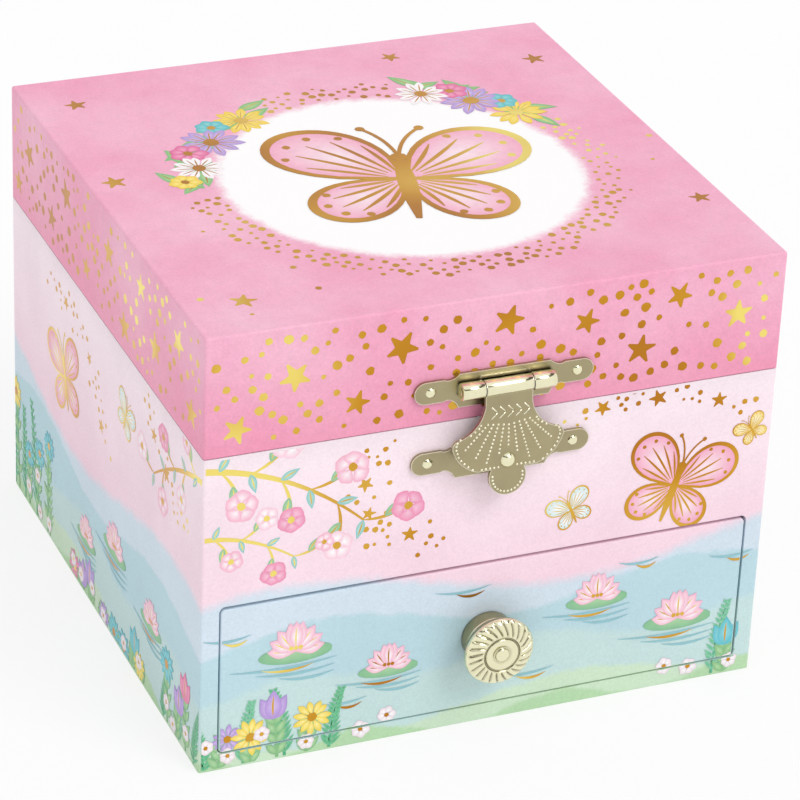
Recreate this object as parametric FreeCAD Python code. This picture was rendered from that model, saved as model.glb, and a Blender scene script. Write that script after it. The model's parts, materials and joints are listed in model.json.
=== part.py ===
import FreeCAD, Part
import math
import os

# A small square musical jewellery box: a paper-wrapped case with a hinged lid, a front clasp,
# a drawer with a turned knob, and behind the drawer a key-wound pin-cylinder movement that
# turns a dancer on a spring foot. Millimetres, +Z up, front towards -Y, origin at the centre
# of the underside.

V = FreeCAD.Vector
AXIS_X = V(1, 0, 0)
AXIS_Y = V(0, 1, 0)
AXIS_Z = V(0, 0, 1)

# Case and lid
case_width = 110.0
case_depth = 111.0
case_height = 64.0
lid_height = 23.2
lid_gap = 0.2
board = 3.0
base_thick = 3.3
shelf_thick = 2.5
edge_round = 0.5
lining_thick = 0.8
lining_below_rim = 1.0

# Drawer and its opening in the front
opening_from_side = 3.4
opening_height = 30.7
opening_corner = 1.2
drawer_side_gap = 0.35
drawer_side_inset = 0.6
drawer_top_gap = 0.7
drawer_floor_gap = 0.2
drawer_stop_gap = 0.5
movement_bay = 45.0
drawer_board = 2.0
drawer_floor_thick = 1.5
drawer_side_height = 24.0
drawer_edge_round = 0.3
drawer_lining_thick = 0.6
divider_thick = 2.5
shelf_above_opening = 0.4

# Turned knob of the drawer
knob_radius = 6.7
knob_reach = 8.0
knob_collar_radius = 5.0
knob_collar_length = 3.4
knob_neck_radius = 4.4
knob_neck_length = 0.9
knob_dome = 1.3
knob_ring_radius = 3.2
knob_boss_radius = 1.3
knob_petals = 20
knob_groove_radius = 0.4
knob_screw_radius = 1.3
knob_screw_bite = 5.0
knob_screw_head_radius = 3.0
knob_screw_head_height = 1.6

# Mirror in the lid
mirror_thick = 2.0
mirror_side = 88.0
mirror_lap = 3.0
mirror_frame_lip = 1.2
mirror_fit_gap = 0.1
frame_fit_gap = 0.3

# Butt hinges on the back
hinge_from_side = 25.0
hinge_width = 18.0
hinge_leaf_height = 11.0
hinge_leaf_thick = 0.6
hinge_knuckle_radius = 1.7
hinge_pin_radius = 0.8
hinge_running_gap = 0.05
hinge_side_gap = 0.15
hinge_notch_gap = 0.3
hinge_lug_reach = 3.2
hinge_lug_thick = 0.7
lid_stop_angle = 103.0
hinge_nail_inset = 5.0

# Clasp: two stamped plates, a shell hasp on a pin, a domed stud
clasp_x = 0.5
clasp_plate_above_rim = 6.4
clasp_plate_below_rim = 7.5
plate_half_length = 17.1
plate_end_half_height = 2.15
plate_mid_rise = 2.9
plate_mid_drop = 3.7
plate_mid_half_length = 8.7
plate_notch_half_height = 1.9
plate_notch_run = 2.2
plate_thick = 0.7
clasp_nail_offset = 14.0
clasp_tube_radius = 1.5
clasp_pin_radius = 0.6
clasp_running_gap = 0.05
clasp_tube_sink = 0.2
hasp_tube_half = 4.5
clasp_knuckle_end = 8.9
clasp_side_gap = 0.15
clasp_window_gap = 0.4
hasp_thick = 0.7
hasp_ahead_of_pin = 0.2
hasp_tilt = 4.0
hasp_neck_half = 4.5
hasp_shell_half = 10.6
hasp_shell_drop = 10.8
hasp_base_half = 5.6
hasp_base_drop = 15.6
hasp_tab_radius = 3.55
hasp_length = 20.8
stud_radius = 1.45
stud_height = 0.9
stud_shank_radius = 0.7
catch_radius = 1.7
catch_gap = 0.45

# Domed nails of the hinges and the clasp
nail_head_radius = 1.0
nail_head_height = 0.55
nail_shank_radius = 0.45
nail_bite = 2.2

# Movement: frame, gear train and comb
frame_to_back = 7.0
frame_depth = 30.0
frame_plate = 1.5
frame_foot = 1.2
frame_half_width = 31.0
frame_top = 27.0
frame_tab_top = 31.0
frame_tab_half = 6.0
bridge_thick = 1.2
gear_module = 0.5
gear_slack = 0.10
great_teeth = 50
pinion_teeth = 14
wheel_teeth = 36
fly_teeth = 8
crown_teeth = 24
train_height = 18.0
fly_direction = -40.0
gear_running_gap = 0.05
great_width = 2.0
great_from_plate = 1.6
pinion_width = 3.0
barrel_radius = 9.5
barrel_wall = 0.8
barrel_length = 16.0
arbor_radius = 1.5
ratchet_teeth = 16
ratchet_radius = 4.2
ratchet_depth = 0.7
ratchet_thick = 1.2
ratchet_from_barrel = 1.4
click_gap = 0.3
click_width = 1.0
click_post_radius = 0.8
click_post_distance = 8.5
click_post_direction = 140.0
mainspring_strip = 0.35
mainspring_turns = 6
mainspring_pitch = 0.9
mainspring_side_gap = 0.5
cylinder_radius = 6.0
cylinder_bore_radius = 1.0
comb_notes = 18
note_pitch = 0.9
pin_radius = 0.2
pin_reach = 0.5
pins_per_note = 3
comb_tip_gap = 0.45
comb_thick = 0.8
comb_slot = 0.2
comb_tooth_longest = 12.0
comb_tooth_shortest = 7.0
comb_reach = 21.0
comb_seat = 8.5
comb_screw_radius = 0.9
comb_screw_head_radius = 1.7
comb_screw_head_height = 1.0
comb_screw_bite = 5.0
comb_screw_count = 3
wheel_width = 1.2
wheel_from_cylinder = 1.2
wheel_hub_radius = 2.5
crown_tooth_half_width = 0.25
crown_tooth_length = 1.4
crown_thick = 1.5
fly_arbor_radius = 0.6
fly_fan_radius = 4.0
fly_fan_length = 14.0
fly_blade_thick = 0.4
fly_hub_radius = 1.2
brake_radius = 3.2
brake_thick = 1.0
brake_from_wheel = 0.8
frame_screw_radius = 0.8
frame_screw_head_radius = 1.5
frame_screw_head_height = 1.0
frame_screw_bite = 2.4

# Winding key at the back
key_stem_radius = 2.6
key_stem_length = 6.0
key_off_back = 1.5
key_wing_radius = 4.2
key_wing_offset = 4.6
key_wing_thick = 1.6
key_eye_radius = 1.5
key_hole_radius = 3.4
key_blind = 1.0

# Wire that the lid presses to stop the music
stop_wire_radius = 0.7
stop_wire_gap = 0.3
stop_wire_from_back = 2.9
stop_wire_jog_height = 28.5
stop_wire_foot = 9.0
stop_hole_gap = 0.1
stop_block_width = 8.0
stop_block_depth = 5.0
stop_block_height = 7.0
stop_block_gap = 0.25

# Dancer on the turning spindle
spindle_radius = 1.2
spindle_hole_gap = 0.3
stand_radius = 4.5
stand_thick = 1.0
stand_lift = 0.3
spring_wire = 0.4
spring_radius = 2.4
spring_turns = 4
spring_pitch = 1.5
spring_seat = 0.15
foot_disc_radius = 3.0
foot_disc_thick = 1.0
head_clearance = 2.4
tutu_radius = 12.5
tutu_thick = 0.5
tutu_ripple = 0.8
tutu_droop = 2.2
tutu_pleats = 18
tutu_seat = 0.5

# Places worked out from the sizes above
half_width = case_width / 2
opening_width = case_width - 2 * opening_from_side
front_y = -case_depth / 2
back_y = case_depth / 2
inner_x = half_width - board
inner_front = front_y + board
inner_back = back_y - board
opening_top = base_thick + opening_height
shelf_bottom = opening_top + shelf_above_opening
shelf_top = shelf_bottom + shelf_thick
lid_bottom = case_height + lid_gap
lid_top_z = lid_bottom + lid_height
lid_ceiling = lid_top_z - board
mirror_face = lid_ceiling - mirror_thick
drawer_half = opening_width / 2 - drawer_side_gap
drawer_bottom = base_thick + drawer_floor_gap
drawer_top = opening_top - drawer_top_gap
divider_y = inner_back - movement_bay - divider_thick
drawer_back_y = divider_y - drawer_stop_gap
knob_z = (drawer_bottom + drawer_top) / 2

hinge_half_spacing = half_width - hinge_from_side
hinge_y = back_y + hinge_knuckle_radius + hinge_running_gap
hinge_z = case_height + lid_gap / 2
lid_plate_z = lid_bottom + clasp_plate_above_rim
case_plate_z = case_height - clasp_plate_below_rim
clasp_pin_y = front_y - plate_thick - clasp_tube_radius + clasp_tube_sink
hasp_back_y = clasp_pin_y - hasp_ahead_of_pin
hasp_front_y = hasp_back_y - hasp_thick

frame_rear_y = inner_back - frame_to_back
frame_front_y = frame_rear_y - frame_depth
plate_inside_front = frame_front_y + frame_plate
plate_inside_rear = frame_rear_y - frame_plate
pitch_radius = {
    name: gear_module * teeth / 2
    for name, teeth in (
        ("great", great_teeth),
        ("pinion", pinion_teeth),
        ("wheel", wheel_teeth),
        ("fly", fly_teeth),
        ("crown", crown_teeth),
    )
}
cylinder_x = 0.0
barrel_x = cylinder_x - pitch_radius["great"] - pitch_radius["pinion"]
fly_distance = pitch_radius["wheel"] + pitch_radius["fly"]
fly_x = cylinder_x + fly_distance * math.cos(math.radians(fly_direction))
fly_z = train_height + fly_distance * math.sin(math.radians(fly_direction))
great_y = plate_inside_front + great_from_plate
barrel_y = great_y + great_width
ratchet_y = barrel_y + barrel_length + ratchet_from_barrel
cylinder_length = comb_notes * note_pitch + 1.0
cylinder_y = great_y + pinion_width
cylinder_end = cylinder_y + cylinder_length
wheel_y = cylinder_end + wheel_from_cylinder
wheel_mid_y = wheel_y + wheel_width / 2
brake_y = wheel_y + wheel_width + brake_from_wheel
spindle_y = wheel_mid_y - pitch_radius["crown"]
crown_pitch_z = train_height + pitch_radius["wheel"]
crown_root_z = crown_pitch_z + 1.3 * gear_module
crown_top_z = crown_root_z + crown_thick
pin_tip_radius = cylinder_radius + pin_reach
comb_tip_x = cylinder_x + pin_tip_radius + comb_tip_gap
comb_bottom = train_height - comb_thick / 2
comb_y = cylinder_y + (cylinder_length - comb_notes * note_pitch) / 2
frame_floor = base_thick + frame_foot

stop_x = fly_x + brake_radius + stop_wire_gap + stop_wire_radius
stop_low_y = brake_y + brake_thick / 2
stop_high_y = inner_back - stop_wire_from_back

tray_floor = shelf_top + lining_thick
stand_bottom = tray_floor + stand_lift
stand_top = stand_bottom + stand_thick
spring_height = spring_turns * spring_pitch + 2 * (spring_wire - spring_seat)
foot_bottom = stand_top + spring_height
foot_top = foot_bottom + foot_disc_thick
figure_height = mirror_face - head_clearance - foot_top
hip_z = foot_top + 0.41 * figure_height
tutu_waist_radius = 0.053 * figure_height
hip_radius = tutu_waist_radius + tutu_seat


def block(x0, x1, y0, y1, z0, z1):
    """A box between two corners."""
    return Part.makeBox(x1 - x0, y1 - y0, z1 - z0, V(x0, y0, z0))


def rod(radius, start, direction, length):
    """A round bar from a start point along a direction."""
    return Part.makeCylinder(radius, length, start, direction)


def edges_where(shape, test):
    """The edges whose two ends both pass a test."""
    return [e for e in shape.Edges if all(test(v.Point) for v in e.Vertexes)]


def near(a, b):
    return abs(a - b) < 1e-6


def outline_face(corners, axis, level):
    """A flat face from corner points (a, b): on XZ at y = level, or on XY at z = level."""
    if axis == "y":
        points = [V(a, level, b) for a, b in corners]
    else:
        points = [V(a, b, level) for a, b in corners]
    return Part.Face(Part.makePolygon(points + points[:1]))


def mirrored_plate(path, x, z, y_back, thick):
    """A plate on the front, from the right half of its outline: lines and three-point arcs, top to bottom."""
    edges = []
    for side in (1, -1):
        at = path[0]
        for step in path[1:]:
            ends = [V(x + side * p[0], y_back, z + p[1]) for p in (at, *step)]
            if len(step) == 1:
                edges.append(Part.makeLine(*ends))
            else:
                edges.append(Part.Arc(*ends).toShape())
            at = step[-1]
    return Part.Face(Part.Wire(Part.__sortEdges__(edges))).extrude(V(0, -thick, 0))


def rounded_panel(half, z0, z1, corner, y_front, thick):
    """An upright panel facing -Y with its four corners rounded."""
    panel = block(-half, half, y_front, y_front + thick, z0, z1)
    along_y = [e for e in panel.Edges if near(abs(e.tangentAt(e.FirstParameter).y), 1)]
    return panel.makeFillet(corner, along_y)


def nail(x, y, z, outward, plate):
    """A domed nail through a plate into a board: outward is +1 for the back face, -1 for the front."""
    direction = V(0, outward, 0)
    face = V(x, y + outward * plate, z)
    shank = rod(nail_shank_radius, V(x, y - outward * nail_bite, z), direction, nail_bite + plate)
    ball_radius = (nail_head_radius**2 + nail_head_height**2) / (2 * nail_head_height)
    ball = Part.makeSphere(ball_radius, face + direction * (nail_head_height - ball_radius))
    disc = rod(nail_head_radius, face, direction, nail_head_height)
    return shank.fuse(ball.common(disc)).removeSplitter()


def gear_outline(teeth, phase):
    """Corner points (radius, angle) of an involute wheel whose first tooth is centred at phase."""
    pitch = gear_module * teeth / 2
    base = pitch * math.cos(math.radians(20))
    root = pitch - 1.25 * gear_module
    tip = pitch + 0.9 * gear_module

    def half_angle(radius):
        roll = math.acos(min(1.0, base / radius))
        rise = math.tan(math.radians(20)) - math.radians(20) - (math.tan(roll) - roll)
        return math.pi / (2 * teeth) - gear_slack / pitch + rise

    radii = [root, max(base, root), pitch, tip]
    points = []
    for k in range(teeth):
        centre = phase + 2 * math.pi * k / teeth
        points += [(r, centre - half_angle(r)) for r in radii]
        points += [(r, centre + half_angle(r)) for r in reversed(radii)]
    return points


def spur_gear(teeth, phase, x, z, y, width):
    """A spur wheel on an axis along Y. Phase is measured from +X towards +Z."""
    corners = [
        (x + r * math.cos(a), z + r * math.sin(a)) for r, a in gear_outline(teeth, phase)
    ]
    return outline_face(corners, "y", y).extrude(V(0, width, 0))


def turned(profile, x, z):
    """A solid turned about an axis along -Y at the front face: profile holds (radius, distance out)."""
    points = [V(x + r, front_y - out, z) for r, out in profile]
    face = Part.Face(Part.makePolygon(points + points[:1]))
    return face.revolve(V(x, front_y, z), AXIS_Y, 360)


def ring_of(shape, count, centre, axis):
    """Copies of a shape spaced evenly round an axis."""
    return [shape.rotated(centre, axis, 360.0 * k / count) for k in range(count)]


# Case


def base_board():
    board_shape = block(-inner_x, inner_x, inner_front, inner_back, 0, base_thick)
    return board_shape.cut(movement_screws())


def side_wall(side):
    x0, x1 = sorted((side * inner_x, side * half_width))
    return block(x0, x1, inner_front, inner_back, 0, case_height)


def full_width_board(y0, y1, z0, z1, outer_y):
    """A board across the whole width, with its two outer upright edges rounded."""
    wall = block(-half_width, half_width, y0, y1, z0, z1)
    outer = edges_where(wall, lambda p: near(abs(p.x), half_width) and near(p.y, outer_y))
    upright = [e for e in outer if near(abs(e.tangentAt(e.FirstParameter).z), 1)]
    return wall.makeFillet(edge_round, upright)


def front_frame():
    wall = full_width_board(front_y, inner_front, 0, case_height, front_y)
    opening = rounded_panel(
        opening_width / 2, base_thick, opening_top, opening_corner, front_y, board
    )
    return wall.cut(opening).cut(clasp_case_nails())


def back_wall():
    wall = full_width_board(inner_back, back_y, 0, case_height, back_y)
    key_hole = rod(key_hole_radius, V(barrel_x, inner_back, train_height), AXIS_Y, board)
    return wall.cut(key_hole).cut(hinge_nails("case"))


def shelf_board():
    shelf = block(-inner_x, inner_x, inner_front, inner_back, shelf_bottom, shelf_top)
    return shelf.cut(spindle_hole(shelf_bottom, shelf_thick)).cut(
        stop_hole(shelf_bottom, shelf_thick)
    )


def spindle_hole(z, depth):
    return rod(spindle_radius + spindle_hole_gap, V(cylinder_x, spindle_y, z), AXIS_Z, depth)


def stop_hole(z, depth):
    return rod(stop_wire_radius + stop_hole_gap, V(stop_x, stop_high_y, z), AXIS_Z, depth)


def bay_divider():
    return block(-inner_x, inner_x, divider_y, divider_y + divider_thick, base_thick, shelf_bottom)


def tray_lining():
    rim = case_height - lining_below_rim
    outer = block(-inner_x, inner_x, inner_front, inner_back, shelf_top, rim)
    inner = block(
        -inner_x + lining_thick,
        inner_x - lining_thick,
        inner_front + lining_thick,
        inner_back - lining_thick,
        tray_floor,
        rim,
    )
    shell = outer.cut(inner).cut(spindle_hole(shelf_top, lining_thick))
    return shell.cut(stop_hole(shelf_top, lining_thick))


# Lid


def lid_top():
    top = block(-half_width, half_width, front_y, back_y, lid_ceiling, lid_top_z)
    upright = edges_where(top, lambda p: True)
    outer = [
        e
        for e in upright
        if near(abs(e.tangentAt(e.FirstParameter).z), 1) or near(e.CenterOfMass.z, lid_top_z)
    ]
    return top.makeFillet(edge_round, outer)


def lid_front_rail():
    rail = full_width_board(front_y, inner_front, lid_bottom, lid_ceiling, front_y)
    return rail.cut(clasp_lid_nails())


def lid_back_rail():
    rail = full_width_board(inner_back, back_y, lid_bottom, lid_ceiling, back_y)
    return rail.cut(hinge_nails("lid"))


def lid_side_rail(side):
    x0, x1 = sorted((side * inner_x, side * half_width))
    return block(x0, x1, inner_front, inner_back, lid_bottom, lid_ceiling)


def mirror_frame():
    half_x = inner_x - frame_fit_gap
    half_y = case_depth / 2 - board - frame_fit_gap
    low = mirror_face - mirror_frame_lip
    pocket = mirror_side / 2 + mirror_fit_gap
    window = mirror_side / 2 - mirror_lap
    frame = block(-half_x, half_x, -half_y, half_y, low, lid_ceiling)
    frame = frame.cut(block(-pocket, pocket, -pocket, pocket, mirror_face, lid_ceiling))
    return frame.cut(block(-window, window, -window, window, low, mirror_face))


def lid_mirror():
    half = mirror_side / 2
    return block(-half, half, -half, half, mirror_face, lid_ceiling)


def lid_stop_block():
    z0 = lid_bottom + stop_block_gap
    half = stop_block_width / 2
    y0 = inner_back - stop_block_depth
    return block(stop_x - half, stop_x + half, y0, inner_back, z0, z0 + stop_block_height)


# Hinges


def hinge_segments(x):
    """The three knuckle spans along X: the case leaf has the outer two, the lid leaf the middle one."""
    third = hinge_width / 3
    starts = [x - hinge_width / 2 + k * third for k in range(3)]
    return [(s + hinge_side_gap / 2, s + third - hinge_side_gap / 2) for s in starts]


def hinge_leaf(x, part):
    """One leaf on the outside of the back, with its knuckles; part is case or lid."""
    down = -1 if part == "case" else 1
    half = hinge_width / 2
    y0, y1 = back_y, back_y + hinge_leaf_thick
    notch = hinge_z + down * (hinge_knuckle_radius + hinge_notch_gap)
    far = hinge_z + down * hinge_leaf_height
    leaf = block(x - half, x + half, y0, y1, *sorted((notch, far)))
    spans = hinge_segments(x)
    own = spans[0::2] if part == "case" else spans[1::2]
    for x0, x1 in own:
        leaf = leaf.fuse(block(x0, x1, y0, y1, *sorted((hinge_z, notch))))
        leaf = leaf.fuse(rod(hinge_knuckle_radius, V(x0, hinge_y, hinge_z), AXIS_X, x1 - x0))
        if part == "lid":
            leaf = leaf.fuse(stop_lug(x0, x1))
    bore = hinge_pin_radius + (hinge_running_gap if part == "lid" else 0)
    leaf = leaf.cut(rod(bore, V(x - half, hinge_y, hinge_z), AXIS_X, hinge_width))
    return leaf.cut(hinge_nails(part)).removeSplitter()


def stop_lug(x0, x1):
    """A lug on the lid knuckle that meets the case leaf at the lid's stop angle."""
    half = hinge_lug_thick / 2
    lug = block(
        x0, x1, hinge_y - half, hinge_y + half, hinge_z - hinge_lug_reach, hinge_z - hinge_pin_radius
    )
    leaf_distance = hinge_knuckle_radius + hinge_running_gap - hinge_leaf_thick - half
    lean = math.degrees(math.asin(leaf_distance / hinge_lug_reach))
    return lug.rotated(V(x0, hinge_y, hinge_z), AXIS_X, lid_stop_angle - lean)


def hinge_pins():
    half = hinge_width / 2
    pins = [
        rod(hinge_pin_radius, V(side * hinge_half_spacing - half, hinge_y, hinge_z), AXIS_X, hinge_width)
        for side in (-1, 1)
    ]
    return Part.makeCompound(pins)


def hinge_nails(part):
    """Two nails in each hinge's leaf on the case or on the lid."""
    down = -1 if part == "case" else 1
    z = hinge_z + down * (hinge_leaf_height + hinge_knuckle_radius) / 2
    nails = [
        nail(side * hinge_half_spacing + step * hinge_nail_inset, back_y, z, 1, hinge_leaf_thick)
        for side in (-1, 1)
        for step in (-1, 1)
    ]
    return Part.makeCompound(nails)


# Clasp


def clasp_outline():
    """Right half of a stamped plate, from the top middle to the bottom middle."""
    end_centre = plate_half_length - plate_end_half_height
    notch_x = plate_mid_half_length + plate_notch_run
    bar_x = notch_x + plate_notch_run / 3
    low = plate_notch_half_height

    def notch_bend(mid_height):
        return plate_mid_half_length + 0.4 * plate_notch_run, low + 0.3 * (mid_height - low)

    over_x, over_z = notch_bend(plate_mid_rise)
    under_x, under_z = notch_bend(plate_mid_drop)
    return [
        (0, plate_mid_rise),
        [(plate_mid_half_length, plate_mid_rise)],
        [(over_x, over_z), (notch_x, low)],
        [(bar_x, plate_end_half_height)],
        [(end_centre, plate_end_half_height)],
        [(plate_half_length, 0), (end_centre, -plate_end_half_height)],
        [(bar_x, -plate_end_half_height)],
        [(notch_x, -low)],
        [(under_x, -under_z), (plate_mid_half_length, -plate_mid_drop)],
        [(0, -plate_mid_drop)],
    ]


def clasp_lid_plate():
    plate = mirrored_plate(clasp_outline(), clasp_x, lid_plate_z, front_y, plate_thick)
    half_window = hasp_tube_half + clasp_side_gap
    reach = clasp_tube_radius + clasp_window_gap
    window = block(
        clasp_x - half_window,
        clasp_x + half_window,
        front_y - plate_thick,
        front_y,
        lid_plate_z - reach,
        lid_plate_z + reach,
    )
    plate = plate.cut(window)
    length = clasp_knuckle_end - half_window
    for x0 in (clasp_x - clasp_knuckle_end, clasp_x + half_window):
        plate = plate.fuse(
            rod(clasp_tube_radius, V(x0, clasp_pin_y, lid_plate_z), AXIS_X, length)
        )
    plate = plate.cut(clasp_pin())
    return plate.cut(clasp_lid_nails()).removeSplitter()


def clasp_pin():
    start = V(clasp_x - clasp_knuckle_end, clasp_pin_y, lid_plate_z)
    return rod(clasp_pin_radius, start, AXIS_X, 2 * clasp_knuckle_end)


def hasp_outline():
    """Right half of the shell hasp, measured down from its pin."""
    shell = (hasp_shell_half, -hasp_shell_drop)
    base = (hasp_base_half, -hasp_base_drop)
    tab_centre = -hasp_length + hasp_tab_radius
    tab_side = math.sqrt(hasp_tab_radius**2 - (hasp_base_drop + tab_centre) ** 2)
    neck_drop = 0.3 * hasp_shell_drop
    return [
        (0, 0),
        [(hasp_neck_half, 0)],
        [(hasp_neck_half, -neck_drop)],
        [
            (0.62 * hasp_shell_half, -0.68 * hasp_shell_drop),
            (0.88 * hasp_shell_half, -0.83 * hasp_shell_drop),
        ],
        [(1.0 * hasp_shell_half, -0.92 * hasp_shell_drop), shell],
        [(0.86 * hasp_shell_half, -hasp_shell_drop - 0.55 * (hasp_base_drop - hasp_shell_drop)), base],
        [(tab_side, -hasp_base_drop)],
        [
            (hasp_tab_radius * math.sin(math.pi / 3), tab_centre - hasp_tab_radius / 2),
            (0, -hasp_length),
        ],
    ]


def clasp_hasp():
    hasp = mirrored_plate(hasp_outline(), clasp_x, lid_plate_z, hasp_back_y, hasp_thick)
    tube = rod(
        clasp_tube_radius, V(clasp_x - hasp_tube_half, clasp_pin_y, lid_plate_z), AXIS_X, 2 * hasp_tube_half
    )
    bore = rod(
        clasp_pin_radius + clasp_running_gap,
        V(clasp_x - hasp_tube_half, clasp_pin_y, lid_plate_z),
        AXIS_X,
        2 * hasp_tube_half,
    )
    hasp = hasp.fuse(tube).cut(bore).cut(flat_stud()).removeSplitter()
    return tilted_with_hasp(hasp)


def tilted_with_hasp(shape):
    """The hasp hangs a little forward, resting over the catch."""
    return shape.rotated(V(clasp_x, clasp_pin_y, lid_plate_z), AXIS_X, -hasp_tilt)


def dome(radius, height, centre, direction):
    """A shallow round dome standing on a face."""
    ball = (radius**2 + height**2) / (2 * height)
    cap = Part.makeSphere(ball, centre + direction * (height - ball))
    return cap.common(rod(radius, centre, direction, height))


def flat_stud():
    """The stud in an upright hasp, before the hasp is tilted."""
    face = V(clasp_x, hasp_front_y, case_plate_z)
    shank = rod(stud_shank_radius, V(clasp_x, hasp_back_y, case_plate_z), -AXIS_Y, hasp_thick)
    return shank.fuse(dome(stud_radius, stud_height, face, -AXIS_Y)).removeSplitter()


def clasp_stud():
    return tilted_with_hasp(flat_stud())


def clasp_case_plate():
    """The case plate with a pressed catch that fills the room behind the tilted hasp but for a gap."""
    plate = mirrored_plate(clasp_outline(), clasp_x, case_plate_z, front_y, plate_thick)
    face = V(clasp_x, front_y - plate_thick, case_plate_z)
    hang = (lid_plate_z - case_plate_z - catch_radius) * math.tan(math.radians(hasp_tilt))
    height = face.y - hasp_back_y + hang - catch_gap
    plate = plate.fuse(dome(catch_radius, height, face, -AXIS_Y))
    return plate.cut(clasp_case_nails()).removeSplitter()


def clasp_nails(z):
    offsets = (-clasp_nail_offset, clasp_nail_offset)
    return Part.makeCompound([nail(clasp_x + dx, front_y, z, -1, plate_thick) for dx in offsets])


def clasp_lid_nails():
    return clasp_nails(lid_plate_z)


def clasp_case_nails():
    return clasp_nails(case_plate_z)


# Drawer


def drawer_front():
    panel = rounded_panel(
        drawer_half,
        drawer_bottom,
        drawer_top,
        opening_corner - drawer_side_gap,
        front_y,
        board,
    )
    rim = edges_where(panel, lambda p: near(p.y, front_y))
    return panel.makeFillet(drawer_edge_round, rim).cut(knob_screw())


def drawer_side(side):
    x0, x1 = sorted((side * (drawer_half - drawer_side_inset), side * drawer_inner_half()))
    return block(x0, x1, inner_front, drawer_back_y, drawer_bottom, drawer_bottom + drawer_side_height)


def drawer_inner_half():
    """Half the width between the sides, set in so that they clear the opening's corners."""
    return drawer_half - drawer_side_inset - drawer_board


def drawer_back():
    half = drawer_inner_half()
    y0 = drawer_back_y - drawer_board
    return block(-half, half, y0, drawer_back_y, drawer_bottom, drawer_bottom + drawer_side_height)


def drawer_floor():
    half = drawer_inner_half()
    y1 = drawer_back_y - drawer_board
    return block(-half, half, inner_front, y1, drawer_bottom, drawer_bottom + drawer_floor_thick)


def drawer_lining():
    half = drawer_inner_half()
    z0 = drawer_bottom + drawer_floor_thick
    return block(-half, half, inner_front, drawer_back_y - drawer_board, z0, z0 + drawer_lining_thick)


def drawer_knob():
    head_start = knob_collar_length + knob_neck_length
    rim = knob_reach - knob_dome
    profile = [
        (0, 0),
        (knob_collar_radius, 0),
        (knob_collar_radius, 0.6 * knob_collar_length),
        (knob_collar_radius - 0.3, knob_collar_length),
        (knob_neck_radius, knob_collar_length),
        (knob_neck_radius, head_start),
        (knob_radius - 0.6, head_start),
        (knob_radius, head_start + 0.7),
        (knob_radius, rim),
        (knob_radius - 0.8, knob_reach - 0.55 * knob_dome),
        (knob_ring_radius + 0.6, knob_reach - 0.4),
        (knob_ring_radius, knob_reach - 0.5),
        (knob_ring_radius - 0.2, knob_reach - 0.9),
        (knob_boss_radius + 0.2, knob_reach - 0.7),
        (knob_boss_radius, knob_reach - 0.3),
        (0.5 * knob_boss_radius, knob_reach),
        (0, knob_reach),
    ]
    knob = turned(profile, 0, knob_z)
    inner = V(knob_ring_radius + 0.5, front_y - knob_reach + 0.4, knob_z)
    outer = V(knob_radius + 0.4, front_y - knob_reach + knob_dome, knob_z)
    groove = rod(knob_groove_radius, inner, outer - inner, (outer - inner).Length)
    for cut in ring_of(groove, knob_petals, V(0, front_y, knob_z), AXIS_Y):
        knob = knob.cut(cut)
    return knob.cut(knob_screw())


def knob_screw():
    shank = rod(
        knob_screw_radius, V(0, inner_front, knob_z), -AXIS_Y, board + knob_screw_bite
    )
    head = rod(knob_screw_head_radius, V(0, inner_front, knob_z), AXIS_Y, knob_screw_head_height)
    slot = block(
        -knob_screw_head_radius,
        knob_screw_head_radius,
        inner_front + knob_screw_head_height / 2,
        inner_front + knob_screw_head_height,
        knob_z - 0.4,
        knob_z + 0.4,
    )
    return shank.fuse(head).cut(slot).removeSplitter()


# Movement frame and comb


def movement_frame():
    """A folded sheet cradle: a foot on the base and two upright plates that carry the arbors."""
    w = frame_half_width
    frame = block(-w, w, frame_front_y, frame_rear_y, base_thick, frame_floor)
    tab = frame_tab_half
    corners = [
        (-w, frame_floor),
        (w, frame_floor),
        (w, frame_top),
        (tab, frame_top),
        (tab, frame_tab_top),
        (-tab, frame_tab_top),
        (-tab, frame_top),
        (-w, frame_top),
    ]
    for y in (frame_front_y, plate_inside_rear):
        frame = frame.fuse(outline_face(corners, "y", y).extrude(V(0, frame_plate, 0)))
    for x, z, radius in (
        (barrel_x, train_height, arbor_radius),
        (cylinder_x, train_height, cylinder_bore_radius),
        (fly_x, fly_z, fly_arbor_radius),
    ):
        frame = frame.cut(
            rod(radius + gear_running_gap, V(x, frame_front_y, z), AXIS_Y, frame_depth)
        )
    return frame.cut(movement_screws()).removeSplitter()


def spindle_bridge():
    strap = block(
        -frame_tab_half,
        frame_tab_half,
        frame_front_y,
        frame_rear_y,
        frame_tab_top,
        frame_tab_top + bridge_thick,
    )
    bore = rod(
        spindle_radius + gear_running_gap, V(cylinder_x, spindle_y, frame_tab_top), AXIS_Z, bridge_thick
    )
    return strap.cut(bore)


def comb_base_x():
    """Where the comb's solid base starts and ends."""
    return comb_tip_x + comb_reach - comb_seat, comb_tip_x + comb_reach


def comb_block():
    x0, x1 = comb_base_x()
    y1 = comb_y + comb_notes * note_pitch
    solid = block(x0, x1, comb_y, y1, frame_floor, comb_bottom)
    return solid.cut(movement_screws())


def music_comb():
    """A steel plate with one tooth a note, the low notes longest."""
    tip = comb_tip_x
    end = comb_tip_x + comb_reach
    corners = [(end, comb_y), (tip, comb_y)]
    for note in range(1, comb_notes):
        share = note / (comb_notes - 1)
        root = tip + comb_tooth_longest + share * (comb_tooth_shortest - comb_tooth_longest)
        slot = comb_y + note * note_pitch
        corners += [
            (tip, slot - comb_slot / 2),
            (root, slot - comb_slot / 2),
            (root, slot + comb_slot / 2),
            (tip, slot + comb_slot / 2),
        ]
    corners += [(tip, comb_y + comb_notes * note_pitch), (end, comb_y + comb_notes * note_pitch)]
    comb = outline_face(corners, "z", comb_bottom).extrude(V(0, 0, comb_thick))
    return comb.cut(movement_screws())


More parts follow.
